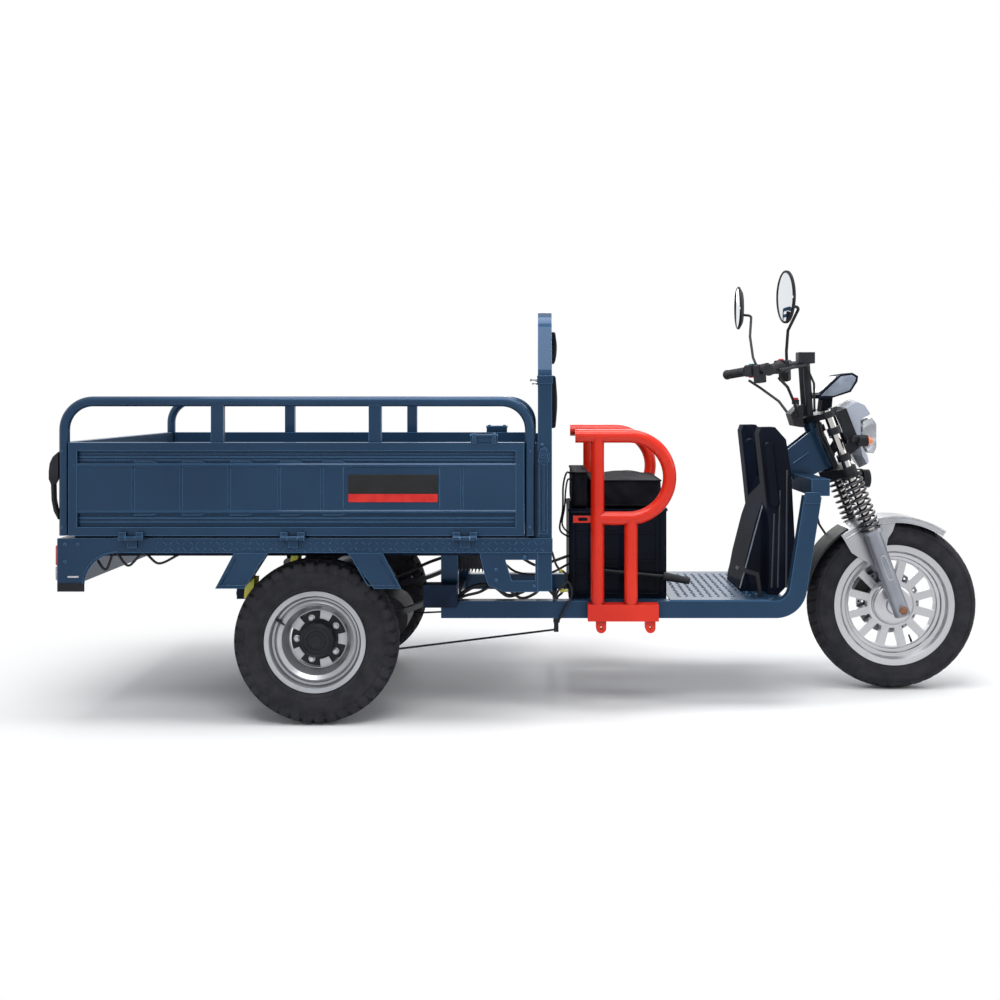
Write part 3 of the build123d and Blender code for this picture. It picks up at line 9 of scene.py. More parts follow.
import bmesh
import bpy
import numpy as np
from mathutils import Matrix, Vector


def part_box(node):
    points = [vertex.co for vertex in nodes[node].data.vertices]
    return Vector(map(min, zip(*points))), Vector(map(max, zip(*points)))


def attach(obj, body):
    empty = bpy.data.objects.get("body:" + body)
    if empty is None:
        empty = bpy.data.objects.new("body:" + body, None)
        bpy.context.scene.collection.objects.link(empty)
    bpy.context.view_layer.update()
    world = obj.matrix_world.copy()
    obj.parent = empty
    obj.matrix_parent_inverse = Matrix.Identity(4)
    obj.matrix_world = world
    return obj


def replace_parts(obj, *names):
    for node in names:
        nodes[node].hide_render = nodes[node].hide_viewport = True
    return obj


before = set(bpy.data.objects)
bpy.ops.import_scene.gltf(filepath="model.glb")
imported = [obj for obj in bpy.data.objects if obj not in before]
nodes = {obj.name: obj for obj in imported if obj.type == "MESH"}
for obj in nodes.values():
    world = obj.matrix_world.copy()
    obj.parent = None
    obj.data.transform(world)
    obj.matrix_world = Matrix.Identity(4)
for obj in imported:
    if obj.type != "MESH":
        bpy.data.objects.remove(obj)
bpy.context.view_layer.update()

# ---- sizes taken from the frame
MM = 0.001
X_AXIS, Y_AXIS, Z_AXIS = np.eye(3)
SIDES = (("left", 1), ("right", -1))
HANDS = (1, -1)


def middle(node):
    """Middle of a CAD node's box."""
    low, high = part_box(node)
    return np.array((low + high) / 2)


FRONT_AXLE = middle("front_tyre")
REAR_AXLES = {side: middle(f"rear_tyre_{side}") for side, _ in SIDES}
RAKE = radians(20.4)
FORK_FORWARD = np.array([cos(RAKE), 0.0, sin(RAKE)])
FORK_UP = np.array([-sin(RAKE), 0.0, cos(RAKE)])


def fork_point(forward, across, up):
    """Points in the fork's own frame, in millimetres from the front axle."""
    steps = np.stack(np.broadcast_arrays(forward, across, up), -1)
    return FRONT_AXLE + steps @ np.array([FORK_FORWARD, Y_AXIS, FORK_UP]) * MM


# ---- camera, light and floor
def add_object(name, data):
    """A new object in the scene."""
    made = bpy.data.objects.new(name, data)
    bpy.context.scene.collection.objects.link(made)
    return made


# The camera is level and square to the side, and its shift frames the tricycle.
bpy.context.scene.view_settings.view_transform = "Standard"
camera_data = bpy.data.cameras.new("camera")
camera = add_object("camera", camera_data)
bpy.context.scene.camera = camera
camera.location = (-0.011, -3.92, 1.052)
camera.rotation_euler = (pi / 2, 0, 0)
camera_data.sensor_width = 36
camera_data.lens = 38.8
camera_data.shift_x = -0.040
camera_data.shift_y = -0.103
camera_data.clip_end = 60


def linear(hex_colour):
    """sRGB hex to linear RGBA: below 0.04045 divide by 12.92, above it ((c + 0.055) / 1.055) ^ 2.4."""
    channels = [int(hex_colour[i:i + 2], 16) / 255 for i in (0, 2, 4)]
    return (*[c / 12.92 if c <= 0.04045 else ((c + 0.055) / 1.055) ** 2.4 for c in channels], 1.0)


def add_node(tree, kind, inputs=None, **settings):
    """Add one node: settings are its attributes, and inputs its sockets' values or incoming links."""
    made = tree.nodes.new("ShaderNode" + kind)
    for name, value in settings.items():
        setattr(made, name, value)
    for name, value in (inputs or {}).items():
        if isinstance(value, bpy.types.NodeSocket):
            tree.links.new(value, made.inputs[name])
        else:
            made.inputs[name].default_value = value
    return made


def seen_plainly(tree):
    """1 for a ray from the camera, a reflection or through glass, and 0 for the light that falls."""
    rays = add_node(tree, "LightPath")
    most = rays.outputs["Is Camera Ray"]
    for kind in ("Is Glossy Ray", "Is Transmission Ray"):
        most = add_node(tree, "Math", {0: most, 1: rays.outputs[kind]}, operation="MAXIMUM").outputs[0]
    return most


# The sky gives a soft light, and is plain white behind the tricycle and in its reflections.
WHITE = (1, 1, 1, 1)
world = bpy.data.worlds.new("studio")
bpy.context.scene.world = world
world.use_nodes = True
sky = world.node_tree
sky.nodes.clear()
soft_light = add_node(sky, "Background", {"Color": (0.93, 0.96, 1.0, 1.0), "Strength": 0.55})
white = add_node(sky, "Background", {"Color": WHITE, "Strength": 1.0})
mixed = add_node(sky, "MixShader", {0: seen_plainly(sky), 1: soft_light.outputs[0], 2: white.outputs[0]})
add_node(sky, "OutputWorld", {"Surface": mixed.outputs[0]})


def area_lamp(name, place, target, size, power):
    """A soft rectangular lamp that faces its target."""
    data = bpy.data.lights.new(name, "AREA")
    data.shape = "RECTANGLE"
    data.size, data.size_y = size
    data.energy = power
    lamp = add_object(name, data)
    lamp.location = place
    lamp.rotation_mode = "QUATERNION"
    lamp.rotation_quaternion = (Vector(target) - Vector(place)).to_track_quat("-Z", "Y")


area_lamp("overhead", (-0.1, -0.5, 3.6), (-0.1, -0.1, 0.6), (3.6, 1.5), 115)
area_lamp("key", (-0.4, -2.7, 3.9), (-0.1, -0.3, 0.9), (2.6, 1.0), 60)
area_lamp("front", (4.2, -1.2, 2.2), (0.6, 0, 0.6), (2.0, 2.0), 24)
area_lamp("behind", (0.6, 4.0, 2.6), (0, 0, 0.6), (3.0, 1.6), 60)


def new_material(name, **constants):
    """A material with one Principled shader, its constant sockets set directly."""
    material = bpy.data.materials.new(name)
    material.use_nodes = True
    shader = material.node_tree.nodes["Principled BSDF"]
    for socket, value in constants.items():
        shader.inputs[socket.replace("_", " ")].default_value = value
    return material, material.node_tree, shader


# The floor is matt grey-white paper for the light, and fades to plain white away from the object.
paper, tree, shader = new_material("studio_paper", Base_Color=linear("f4f4f4"), Roughness=0.95,
                                   Specular_IOR_Level=0.0)
place = add_node(tree, "TexCoord")
spot = add_node(tree, "Mapping", {"Vector": place.outputs["Object"], "Scale": (0.55, 1.1, 1.0)})
away = add_node(tree, "VectorMath", {0: spot.outputs[0]}, operation="LENGTH")
fade = add_node(tree, "MapRange", {"Value": away.outputs["Value"], 1: 0.7, 2: 1.7, 3: 0.0, 4: 1.0},
                interpolation_type="SMOOTHSTEP")
share = add_node(tree, "Math", {0: fade.outputs[0], 1: seen_plainly(tree)}, operation="MULTIPLY")
glow = add_node(tree, "Emission", {"Color": WHITE, "Strength": 1.0})
mixed = add_node(tree, "MixShader", {0: share.outputs[0], 1: shader.outputs[0], 2: glow.outputs[0]})
tree.links.new(mixed.outputs[0], tree.nodes["Material Output"].inputs["Surface"])
floor_mesh = bpy.data.meshes.new("floor")
floor_mesh.from_pydata([(-25, -25, 0), (25, -25, 0), (25, 25, 0), (-25, 25, 0)], [], [(0, 1, 2, 3)])
floor_mesh.materials.append(paper)
floor = add_object("floor", floor_mesh)


# ---- materials
def rounded_edges(tree, shader, radius, normal=None):
    """Light the edges as if broken to a small radius, which every pressed or cast edge has."""
    inputs = {"Radius": radius}
    if normal:
        inputs["Normal"] = normal
    bevel = add_node(tree, "Bevel", inputs, samples=4)
    tree.links.new(bevel.outputs[0], shader.inputs["Normal"])


def grain(tree, scale, distance, detail, kind):
    """A fine surface texture from noise, or pebbles from a cell pattern, as a bump; scale is per metre."""
    place = add_node(tree, "TexCoord")
    if kind == "noise":
        pattern = add_node(tree, "TexNoise", {"Vector": place.outputs["Object"], "Scale": scale,
                                              "Detail": detail})
        height = pattern.outputs["Fac"]
    else:
        pattern = add_node(tree, "TexVoronoi", {"Vector": place.outputs["Object"], "Scale": scale})
        height = pattern.outputs["Distance"]
    bump = add_node(tree, "Bump", {"Height": height, "Strength": 1.0, "Distance": distance})
    return bump.outputs[0]


def tinted(tree, shader, dark, light, scale):
    """Base colour that drifts between two shades in soft clouds; scale is per metre."""
    place = add_node(tree, "TexCoord")
    clouds = add_node(tree, "TexNoise", {"Vector": place.outputs["Object"], "Scale": scale, "Detail": 3.0})
    ramp = add_node(tree, "MapRange", {"Value": clouds.outputs["Fac"], 1: 0.35, 2: 0.65})
    colour = add_node(tree, "Mix", {0: ramp.outputs[0], 6: linear(dark), 7: linear(light)}, data_type="RGBA")
    tree.links.new(colour.outputs[2], shader.inputs["Base Color"])


def hazed(tree, shader, scale, low, high, detail=2.0, span=(0.0, 1.0)):
    """Roughness that drifts from low to high as a noise goes through its span; scale is per metre."""
    place = add_node(tree, "TexCoord")
    haze = add_node(tree, "TexNoise", {"Vector": place.outputs["Object"], "Scale": scale, "Detail": detail})
    rough = add_node(tree, "MapRange", {"Value": haze.outputs["Fac"], 1: span[0], 2: span[1], 3: low,
                                        4: high})
    tree.links.new(rough.outputs[0], shader.inputs["Roughness"])


def painted_corner_shade(tree, shader, reach, corner_shade):
    """Painted shade in corners: the base colour goes to the shade colour where nearby surfaces close in
    within the reach, in metres."""
    socket = shader.inputs["Base Color"]
    unshaded = socket.links[0].from_socket
    closeness = add_node(tree, "AmbientOcclusion", {"Distance": reach}, samples=6, only_local=False)
    share = add_node(tree, "MapRange", {"Value": closeness.outputs["AO"], 1: 0.35, 2: 0.95})
    colour = add_node(tree, "Mix", {0: share.outputs[0], 6: linear(corner_shade), 7: unshaded}, data_type="RGBA")
    tree.links.new(colour.outputs[2], socket)
    return share.outputs[0]


def painted_edge_highlights(tree, shader, clear, reach, edge_highlight):
    """A painted highlight on outer edges: the further the normal rounded over the reach, in metres, leaves
    the face's own, the more of the highlight colour, where the painted corner shade leaves the surface open."""
    socket = shader.inputs["Base Color"]
    flat = socket.links[0].from_socket
    bevel = add_node(tree, "Bevel", {"Radius": reach}, samples=6)
    face = add_node(tree, "NewGeometry")
    turn = add_node(tree, "VectorMath", {0: bevel.outputs[0], 1: face.outputs["Normal"]},
                    operation="DOT_PRODUCT")
    share = add_node(tree, "MapRange", {"Value": turn.outputs["Value"], 1: 0.99, 2: 0.8})
    outer = add_node(tree, "MapRange", {"Value": clear, 1: 0.45, 2: 0.85})
    share = add_node(tree, "Math", {0: share.outputs[0], 1: outer.outputs[0]}, operation="MULTIPLY")
    colour = add_node(tree, "Mix", {0: share.outputs[0], 6: flat, 7: linear(edge_highlight)}, data_type="RGBA")
    tree.links.new(colour.outputs[2], socket)


def finish(name, shades=(), drift=0.0, corner_shade=(), edge_highlight=(), edge=0.0, grains=0, depth=0.0, detail=2.0,
           kind="noise", **constants):
    """A finish made up of what is given: two shades that drift in so many clouds a metre, painted shade in
    its corners, painted highlights on its outer edges, edges broken to a radius, and a skin of so many grains
    a metre."""
    made, tree, shader = new_material(name, **constants)
    if shades:
        tinted(tree, shader, *shades, drift)
    if corner_shade:
        clear = painted_corner_shade(tree, shader, *corner_shade)
    if edge_highlight:
        painted_edge_highlights(tree, shader, clear, *edge_highlight)
    skin = grain(tree, grains, depth, detail, kind) if grains else None
    if edge:
        rounded_edges(tree, shader, edge, skin)
    elif skin:
        tree.links.new(skin, shader.inputs["Normal"])
    return made


# Petrol-blue enamel, sprayed on pressed steel: deep colour, a glossy coat with a slight orange peel of 4 mm
# waves, painted shade in its corners and painted highlights on its outer edges.
petrol = finish("petrol_blue_enamel", ("192a3d", "203448"), drift=2.2, corner_shade=(0.03, "07121d"),
                edge_highlight=(0.0035, "5480a8"), edge=0.0016, grains=240, depth=0.00006, detail=1.0,
                Roughness=0.38, Specular_IOR_Level=0.5, Specular_Tint=(0.1, 0.42, 1.0, 1.0),
                Coat_Weight=0.28, Coat_Roughness=0.08)

# The same enamel under the bed, dulled, and painted darker for the shade that falls under the bed.
shaded_underbody = finish("shaded_petrol_enamel", ("101a2b", "1c2a40"), drift=9.0, edge=0.0016, grains=420,
                   depth=0.0001, Roughness=0.6, Specular_IOR_Level=0.1)

# Orange-red powder coat on bent tube: thick, glossy and softly rippled at 3 mm, with painted shade in its
# corners.
red_coat = finish("orange_red_powder_coat", ("cc210c", "d82b12"), drift=5.0, corner_shade=(0.02, "7a0f06"),
                  edge=0.0015, grains=330, depth=0.00008, detail=1.0, Roughness=0.34,
                  Specular_IOR_Level=0.2, Coat_Weight=0.3, Coat_Roughness=0.06)

# Silver lacquer on pressed steel: fine metal flake under a satin coat, with painted shade in its corners.
silver_lacquer = finish("silver_lacquer", ("9fa1a7", "b4b6bb"), drift=6.0, corner_shade=(0.02, "3c3e44"),
                        edge=0.001, grains=900, depth=0.00003, Metallic=0.75, Roughness=0.34,
                        Coat_Weight=0.4, Coat_Roughness=0.15)

# Cast aluminium, shot-blasted and lacquered grey: a sandy skin of 1 mm grains.
cast_alloy = finish("cast_aluminium_grey", ("83868f", "9598a1"), drift=9.0, edge=0.0012, grains=1100,
                    depth=0.00008, Metallic=0.7, Roughness=0.42)

# Chrome plate on turned steel: a mirror with a faint haze of handling.
chrome, tree, shader = new_material("chrome_plate", Metallic=1.0, Base_Color=linear("bcb9b6"))
hazed(tree, shader, 22.0, 0.06, 0.16, detail=4.0, span=(0.4, 0.7))
rounded_edges(tree, shader, 0.0006)

# Black stove enamel on brackets and axle: semi-gloss, with a light dusting.
black_enamel = finish("black_stove_enamel", ("131419", "1f2128"), drift=14.0, edge=0.0012, grains=500,
                      depth=0.00006, Roughness=0.45, Specular_IOR_Level=0.25)

# ABS, moulded with a spark-eroded grain of about 0.8 mm: matt black.
grained_abs = finish("grained_black_abs", ("16171c", "1f2127"), drift=20.0, edge=0.0012, grains=1250,
                     depth=0.00008, kind="cells", Roughness=0.55, Specular_IOR_Level=0.3)

# ABS, moulded in a polished tool: gloss black, with blue painted into its base colour as a reflection of the
# paint round it.
gloss_abs = finish("gloss_black_abs", ("10141d", "191f2e"), drift=3.0, edge=0.0022, grains=60,
                   depth=0.0002, detail=0.0, Roughness=0.4, Specular_IOR_Level=0.0, Coat_Weight=0.09,
                   Coat_Roughness=0.06)

# The same moulding on its raised flutes: a lighter, glossier copy whose paler colour is a painted highlight,
# and whose coat throws back a lamp as a line.
highlight_abs = finish("highlight_black_abs", ("151a26", "20283a"), drift=3.0, edge=0.0022, Roughness=0.3,
                    Coat_Weight=0.8, Coat_Roughness=0.12)

# Silver-coated moulding of the lamp shell: bright, with a satin face.
silver_abs = finish("silver_coated_abs", ("9ea5b3", "b6bccb"), drift=6.0, edge=0.002, Metallic=0.2,
                    Roughness=0.34, Coat_Weight=0.12, Coat_Roughness=0.08)

# Vulcanised tread rubber: dull black with a grey bloom on the worn faces.
tyre_rubber = finish("vulcanised_tyre_rubber", ("16161b", "25252c"), drift=26.0, grains=700,
                     depth=0.00012, Roughness=0.78, Specular_IOR_Level=0.35)

# Moulded rubber of grips, boots, flaps and hoses.
soft_rubber = finish("moulded_soft_rubber", ("151518", "1f2024"), drift=30.0, grains=900,
                     depth=0.00006, Roughness=0.66, Specular_IOR_Level=0.4)

# Grey iron casting under brush paint: rough at 2 mm.
cast_iron = finish("painted_iron_casting", ("202126", "2f3037"), drift=25.0, edge=0.002, grains=450,
                   depth=0.0003, detail=4.0, Roughness=0.6, Metallic=0.3)

# Oil-hardened spring wire in gloss black dip paint.
spring_paint = finish("dipped_spring_paint", ("1c1d24", "2c2e38"), drift=18.0, edge=0.001,
                      Roughness=0.3, Coat_Weight=0.4)

# Ground steel of the disc: bright, with the fine dull grain that the grinding wheel leaves.
ground_steel = finish("ground_steel", edge=0.0005, grains=1600, depth=0.00002, detail=0.0,
                      Metallic=1.0, Base_Color=linear("a2a4aa"), Roughness=0.28)

# Vinyl stretched over foam: embossed leather grain of about 1.4 mm, soft sheen.
vinyl = finish("embossed_black_vinyl", ("111217", "1a1b21"), drift=12.0, grains=700, depth=0.00012,
               kind="cells", Roughness=0.6, Specular_IOR_Level=0.0, Coat_Weight=0.12,
               Coat_Roughness=0.35)


def lens(name, colour, scale, direction, strength, **constants):
    """A lens moulded with ribs inside, pi / (10 x scale) metres apart."""
    made, tree, shader = new_material(name, Base_Color=linear(colour), **constants)
    place = add_node(tree, "TexCoord")
    ribs = add_node(tree, "TexWave", {"Vector": place.outputs["Object"], "Scale": scale},
                    bands_direction=direction)
    bump = add_node(tree, "Bump", {"Height": ribs.outputs["Fac"], "Strength": strength, "Distance": MM})
    tree.links.new(bump.outputs[0], shader.inputs["Normal"])
    return made


# Acrylic of the tail lamps and the flashers: saturated, polished outside, with ribs of 4 and 3.5 mm.
ACRYLIC = dict(Roughness=0.12, Coat_Weight=0.8, Coat_Roughness=0.03, IOR=1.49)
red_lens = lens("red_acrylic", "b3141d", 80.0, "Z", 0.5, **ACRYLIC)
amber_lens = lens("amber_acrylic", "e8742a", 90.0, "Z", 0.5, **ACRYLIC)

# Clear polycarbonate headlamp lens: a pale cast and soft flutes of 12 mm.
clear_lens = lens("clear_polycarbonate", "d4d9e0", 26.0, "Y", 0.15, Roughness=0.04,
                  Transmission_Weight=0.6, IOR=1.585)

# Zinc plate on bolts and nuts: pale metal with a faint clouded passivation.
zinc = finish("zinc_plate", ("a5a8ae", "c0c3c6"), drift=60.0, edge=0.0004, Metallic=1.0, Roughness=0.3)

# Yellow chromate on zinc, with its uneven green and gold bloom.
chromate = finish("yellow_chromate_zinc", ("9aa64e", "b3a24a"), drift=35.0, edge=0.0006, Metallic=0.8,
                  Roughness=0.4)

# Bronzed steel of the axle nuts: brown, with darker clouds left by the hot bath.
bronze = finish("bronzed_axle_nut", ("7d5a48", "97705a"), drift=40.0, Metallic=0.8, Roughness=0.4)

# Back-silvered glass of the mirrors: a mirror with the faintest smear.
silvered_glass, tree, shader = new_material("silvered_glass", Metallic=1.0, Base_Color=linear("e4e8ec"))
hazed(tree, shader, 30.0, 0.02, 0.06)


def plastic(name, dark, light, roughness):
    """Printed panels and small mouldings: a satin plastic in a plain colour, with a fine grain."""
    return finish(name, (dark, light), drift=25.0, edge=0.0005, grains=1500, depth=0.00003,
                  Roughness=roughness, Specular_IOR_Level=0.35)


display_panel = plastic("display_polycarbonate", "6c7583", "868f9c", 0.25)
red_plastic = plastic("red_moulded_nylon", "b8161a", "cc2020", 0.35)
cyan_plastic = plastic("cyan_moulded_nylon", "1f93b3", "29a6c6", 0.35)
black_plate = plastic("black_enamelled_plate", "0b0c0e", "131417", 0.3)
red_band = plastic("red_enamelled_band", "c01c18", "cf2a20", 0.3)
reflector_grey = plastic("grey_prism_reflector", "9b9fa8", "b4b8c0", 0.25)
black_cable = plastic("black_cable_sheath", "121216", "1e1f24", 0.5)

# Front wheel: cast aluminium whose faces are turned bright, with 1.5 mm rings round the axle.
turned_alloy, tree, shader = new_material("turned_aluminium", Metallic=0.9, Base_Color=linear("bcbdc1"))
place = add_node(tree, "TexCoord")
hub = add_node(tree, "Mapping", {"Vector": place.outputs["Object"], "Scale": (1, 0, 1),
                                 "Location": (-FRONT_AXLE[0], 0, -FRONT_AXLE[2])})
reach = add_node(tree, "VectorMath", {0: hub.outputs[0]}, operation="LENGTH")
rings = add_node(tree, "TexNoise", {"W": reach.outputs["Value"], "Scale": 900.0}, noise_dimensions="1D")
rough = add_node(tree, "MapRange", {"Value": rings.outputs["Fac"], 3: 0.2, 4: 0.38})
tree.links.new(rough.outputs[0], shader.inputs["Roughness"])
bump = add_node(tree, "Bump", {"Height": rings.outputs["Fac"], "Strength": 0.4, "Distance": 0.0001})
rounded_edges(tree, shader, 0.0018, bump.outputs[0])

WORN_BY = {
    petrol: ("bed_floor", "bed_skirts", "chassis_rails", "floorboard", "gate_hinges", "headboard",
             "post_latches", "rear_mudguards", "steering_head",
             "side_gate_left", "side_gate_right", "side_rail_left", "side_rail_right", "tailgate"),
    shaded_underbody: ("bed_subframe", "spring_hangers"),
    red_coat: ("seat_guards",),
    silver_lacquer: ("front_mudguard", "rear_rim_left", "rear_rim_right"),
    cast_alloy: ("fork_sliders",),
    chrome: ("fork_tubes",),
    black_enamel: ("horn", "brake_linkage", "rear_axle", "fork_yokes", "handlebar", "lamp_bracket",
                   "rear_hub_left", "rear_hub_right", "gate_latch_left", "gate_latch_right"),
    grained_abs: ("parking_lever", "controls", "ignition_box", "mirrors", "mudguard_flap"),
    gloss_abs: ("leg_shields", "seat_box", "instrument_pod"),
    silver_abs: ("headlamp_shell",),
    tyre_rubber: ("front_tyre", "rear_tyre_left", "rear_tyre_right"),
    soft_rubber: ("control_cables", "grips"),
    cast_iron: ("drive_motor", "brake_caliper"),
    spring_paint: ("leaf_springs", "fork_springs"),
    ground_steel: ("brake_disc",),
    vinyl: ("backrest_pads", "seat_cushion"),
    red_lens: ("tail_lamps",),
    amber_lens: ("front_indicators",),
    clear_lens: ("headlamp_lens",),
    turned_alloy: ("front_rim",),
}
for material, dressed in WORN_BY.items():
    for name in dressed:
        for slot in nodes[name].material_slots:
            slot.material = material


# ---- surfaces
def loft(rings, caps=True):
    """A skin over equal rings of points, an array (rings, around, 3).

    Quads join ring to ring, and flat caps shut both ends.
    """
    rings = np.asarray(rings, float)
    count, around = rings.shape[:2]
    index = np.arange(count * around).reshape(count, around)
    ahead = np.roll(index, -1, axis=1)
    faces = np.stack([index[:-1], ahead[:-1], ahead[1:], index[1:]], axis=-1).reshape(-1, 4).tolist()
    if caps:
        faces += [index[0, ::-1].tolist(), index[-1].tolist()]
    return rings.reshape(-1, 3), faces


def joined(shapes):
    """Several (points, faces) as one, each face's numbers raised by the points before it."""
    points, faces, before = [], [], 0
    for some_points, some_faces in shapes:
        points.append(some_points)
        faces += [[i + before for i in face] for face in some_faces]
        before += len(some_points)
    return np.concatenate(points), faces


def piece(name, shape, material, body="frame", sharp=35, mend=True):
    """A mesh piece that rides on a body; its faces are turned outward and its creases kept crisp."""
    points, faces = shape
    mesh = bpy.data.meshes.new(name)
    mesh.from_pydata(np.asarray(points).tolist(), [], faces)
    if mend:
        work = bmesh.new()
        work.from_mesh(mesh)
        bmesh.ops.remove_doubles(work, verts=work.verts, dist=1e-6)
        bmesh.ops.recalc_face_normals(work, faces=work.faces)
        work.to_mesh(mesh)
        work.free()
    mesh.shade_smooth()
    mesh.set_sharp_from_angle(angle=radians(sharp))
    mesh.materials.append(material)
    made = add_object(name, mesh)
    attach(made, body)
    return made


def tube(path, radius, around=12, up=(0, 0, 1)):
    """Rings of a round tube along a path: centre + r (cos a n + sin a b), where n and b stand square to
    the path's direction and n leans towards up."""
    path = np.asarray(path, float)
    along = np.gradient(path, axis=0)
    along /= np.linalg.norm(along, axis=1, keepdims=True)
    side = np.cross(along, np.asarray(up, float))
    side /= np.linalg.norm(side, axis=1, keepdims=True)
    lift = np.cross(side, along)
    a = np.linspace(0, tau, around, endpoint=False)[None, :, None]
    radius = np.broadcast_to(np.asarray(radius, float), (len(path),))[:, None, None]
    return path[:, None] + radius * (np.cos(a) * side[:, None] + np.sin(a) * lift[:, None])


def turned(profile, centre, axis, around):
    """Rings of a turned shape: each (radius, height) of the profile is a circle of that radius, that far
    along the axis from the centre."""
    axis = np.asarray(axis, float) / np.linalg.norm(axis)
    across = np.cross(axis, (0, 0, 1) if abs(axis[2]) < 0.9 else (1, 0, 0))
    across /= np.linalg.norm(across)
    third = np.cross(axis, across)
    a = np.linspace(0, tau, around, endpoint=False)[None, :, None]
    r, h = np.asarray(profile, float).T[:, :, None, None]
    return np.asarray(centre) + r * (np.cos(a) * across + np.sin(a) * third) + h * axis


# ---- small shapes, in millimetres
def mm(x, y, z):
    """A point given in millimetres."""
    return np.array([x, y, z], float) * MM


def touch(node, start, toward):
    """Where a line from a point first meets a CAD node."""
    found, place, _, _ = nodes[node].ray_cast(Vector(start), Vector(toward))
    if not found:
        raise ValueError(f"nothing of {node} lies that way")
    return np.array(place)


def side_of(node, hand, x, out, z):
    """How far across a CAD node's surface lies, as met from a place out on that side."""
    return touch(node, mm(x, out * hand, z), -hand * Y_AXIS)[1] / MM


def arc(centre, across, up, degrees):
    """Points on an upright oval: centre + (across cos a, 0, up sin a)."""
    a = np.radians(degrees)
    return np.asarray(centre) + np.stack(np.broadcast_arrays(across * np.cos(a), 0.0, up * np.sin(a)), -1)


def on_plane(y, places):
    """Points in millimetres at one distance across, from their (x, z)."""
    return np.insert(np.asarray(places, float), 1, y, axis=1)


def knob(centre, axis, profile, around=24):
    """A turned shape with flat ends, from its (radius, height) profile."""
    return loft(turned(np.asarray(profile, float) * MM, centre, axis, around))


def bead_ring(centre, axis, radius, width, height):
    """A low raised ring round an axis, its section a trapezium."""
    half = width / 2
    profile = [(radius - half, 0), (radius - half / 2, height), (radius + half / 2, height),
               (radius + half, 0), (radius - half, 0)]
    return loft(turned(np.asarray(profile) * MM, centre, axis, 72), caps=False)


def hex_bolt(centre, axis, size):
    """A washer and a chamfered hexagon head, sized by its thread."""
    washer = knob(centre, axis, [(1.15 * size, -0.5), (1.15 * size, 0.16 * size), (1.05 * size, 0.22 * size)])
    head = knob(centre, axis, [(0.95 * size, 0), (0.95 * size, 0.75 * size), (0.78 * size, 0.9 * size)], 6)
    return joined([washer, head])


def bolts(name, centres, axis, size, material=zinc, body="frame"):
    """A set of equal bolts as one piece."""
    return piece(name, joined([hex_bolt(centre, axis, size) for centre in centres]), material, body)


def outline(width, height, radius, corner=6):
    """A rounded rectangle about zero."""
    a = np.linspace(0, pi / 2, corner)[None] + np.arange(4)[:, None] * pi / 2
    centre = np.array([(1, 1), (-1, 1), (-1, -1), (1, -1)]) * (width / 2 - radius, height / 2 - radius)
    return (centre[:, None] + radius * np.stack([np.cos(a), np.sin(a)], -1)).reshape(-1, 2)


SUNK = 1.5


def slab(centre, right, up, width, height, thickness, radius, soften=0.6):
    """A plate of a rounded outline laid out along right and up. It is sunk SUNK into what carries it,
    stands up along right x up, and its front edge is drawn in by soften."""
    right, up = np.asarray(right, float), np.asarray(up, float)
    out = np.cross(right, up)
    rings = []
    for inset, level in ((0, -SUNK), (0, thickness - soften), (soften, thickness)):
        flat = outline(width - 2 * inset, height - 2 * inset, max(radius - inset, 0.3))
        rings.append(centre + (flat[:, :1] * right + flat[:, 1:] * up + level * out) * MM)
    return loft(rings)


def side_plate(hand, x, out, z, *sizes):
    """A slab that faces that side of the tricycle, its sizes as for slab."""
    return slab(mm(x, out * hand, z), -hand * X_AXIS, Z_AXIS, *sizes)


def rear_plate(x, y, z, *sizes):
    """A slab that faces backwards, its sizes as for slab."""
    return slab(mm(x, y, z), -Y_AXIS, Z_AXIS, *sizes)


def prism(profile, middle_y, half, drawn):
    """A plate cut to an outline in X and Z; over its last 0.6 mm, each face is drawn in towards the
    outline's middle."""
    flat = np.asarray(profile, float)
    core = flat.mean(0)
    rings = []
    for y, share in ((-half, drawn), (0.6 - half, 0), (half - 0.6, 0), (half, drawn)):
        ring = flat + (core - flat) * share
        rings.append(np.stack([ring[:, 0], np.full(len(ring), middle_y + y), ring[:, 1]], -1))
    return loft(np.array(rings) * MM)


def rod(centre, half, radius, around):
    """A round rod that lies along X."""
    ends = [centre - half * MM * X_AXIS, centre + half * MM * X_AXIS]
    return loft(tube(ends, radius * MM, around, up=(0, 0.3, 1)))


# A direction that no wire or cable runs along, to turn their rings by.
ASKEW = (0.31, 0.17, 0.93)


def wire(name, paths, radius, material, body="frame", closed=False):
    """Beads, wires or tubes of one radius, along paths in millimetres."""
    shapes = [loft(tube(np.asarray(path, float) * MM, radius * MM, 10, up=ASKEW), caps=not closed)
              for path in paths]
    return piece(name, joined(shapes), material, body)


def studs(centres, along, across, length, width, height):
    """Raised lozenges of a tread plate: an oval on the sheet that shrinks to 0.55 at its top."""
    a = np.linspace(0, tau, 10, endpoint=False)
    oval = (np.cos(a)[:, None] * along[:, None] * length + np.sin(a)[:, None] * across[:, None] * width) / 2
    lift = np.cross(along, across)[:, None] * height
    centres = np.asarray(centres)[:, None]
    points = np.stack([centres + (oval - 0.3 * lift) * MM, centres + (0.55 * oval + lift) * MM], 1)
    index = np.arange(len(points) * 20).reshape(-1, 2, 10)
    ahead = np.roll(index, -1, axis=2)
    sides = np.stack([index[:, 0], ahead[:, 0], ahead[:, 1], index[:, 1]], -1).reshape(-1, 4)
    faces = sides.tolist() + index[:, 0, ::-1].tolist() + index[:, 1].tolist()
    return points.reshape(-1, 3), faces


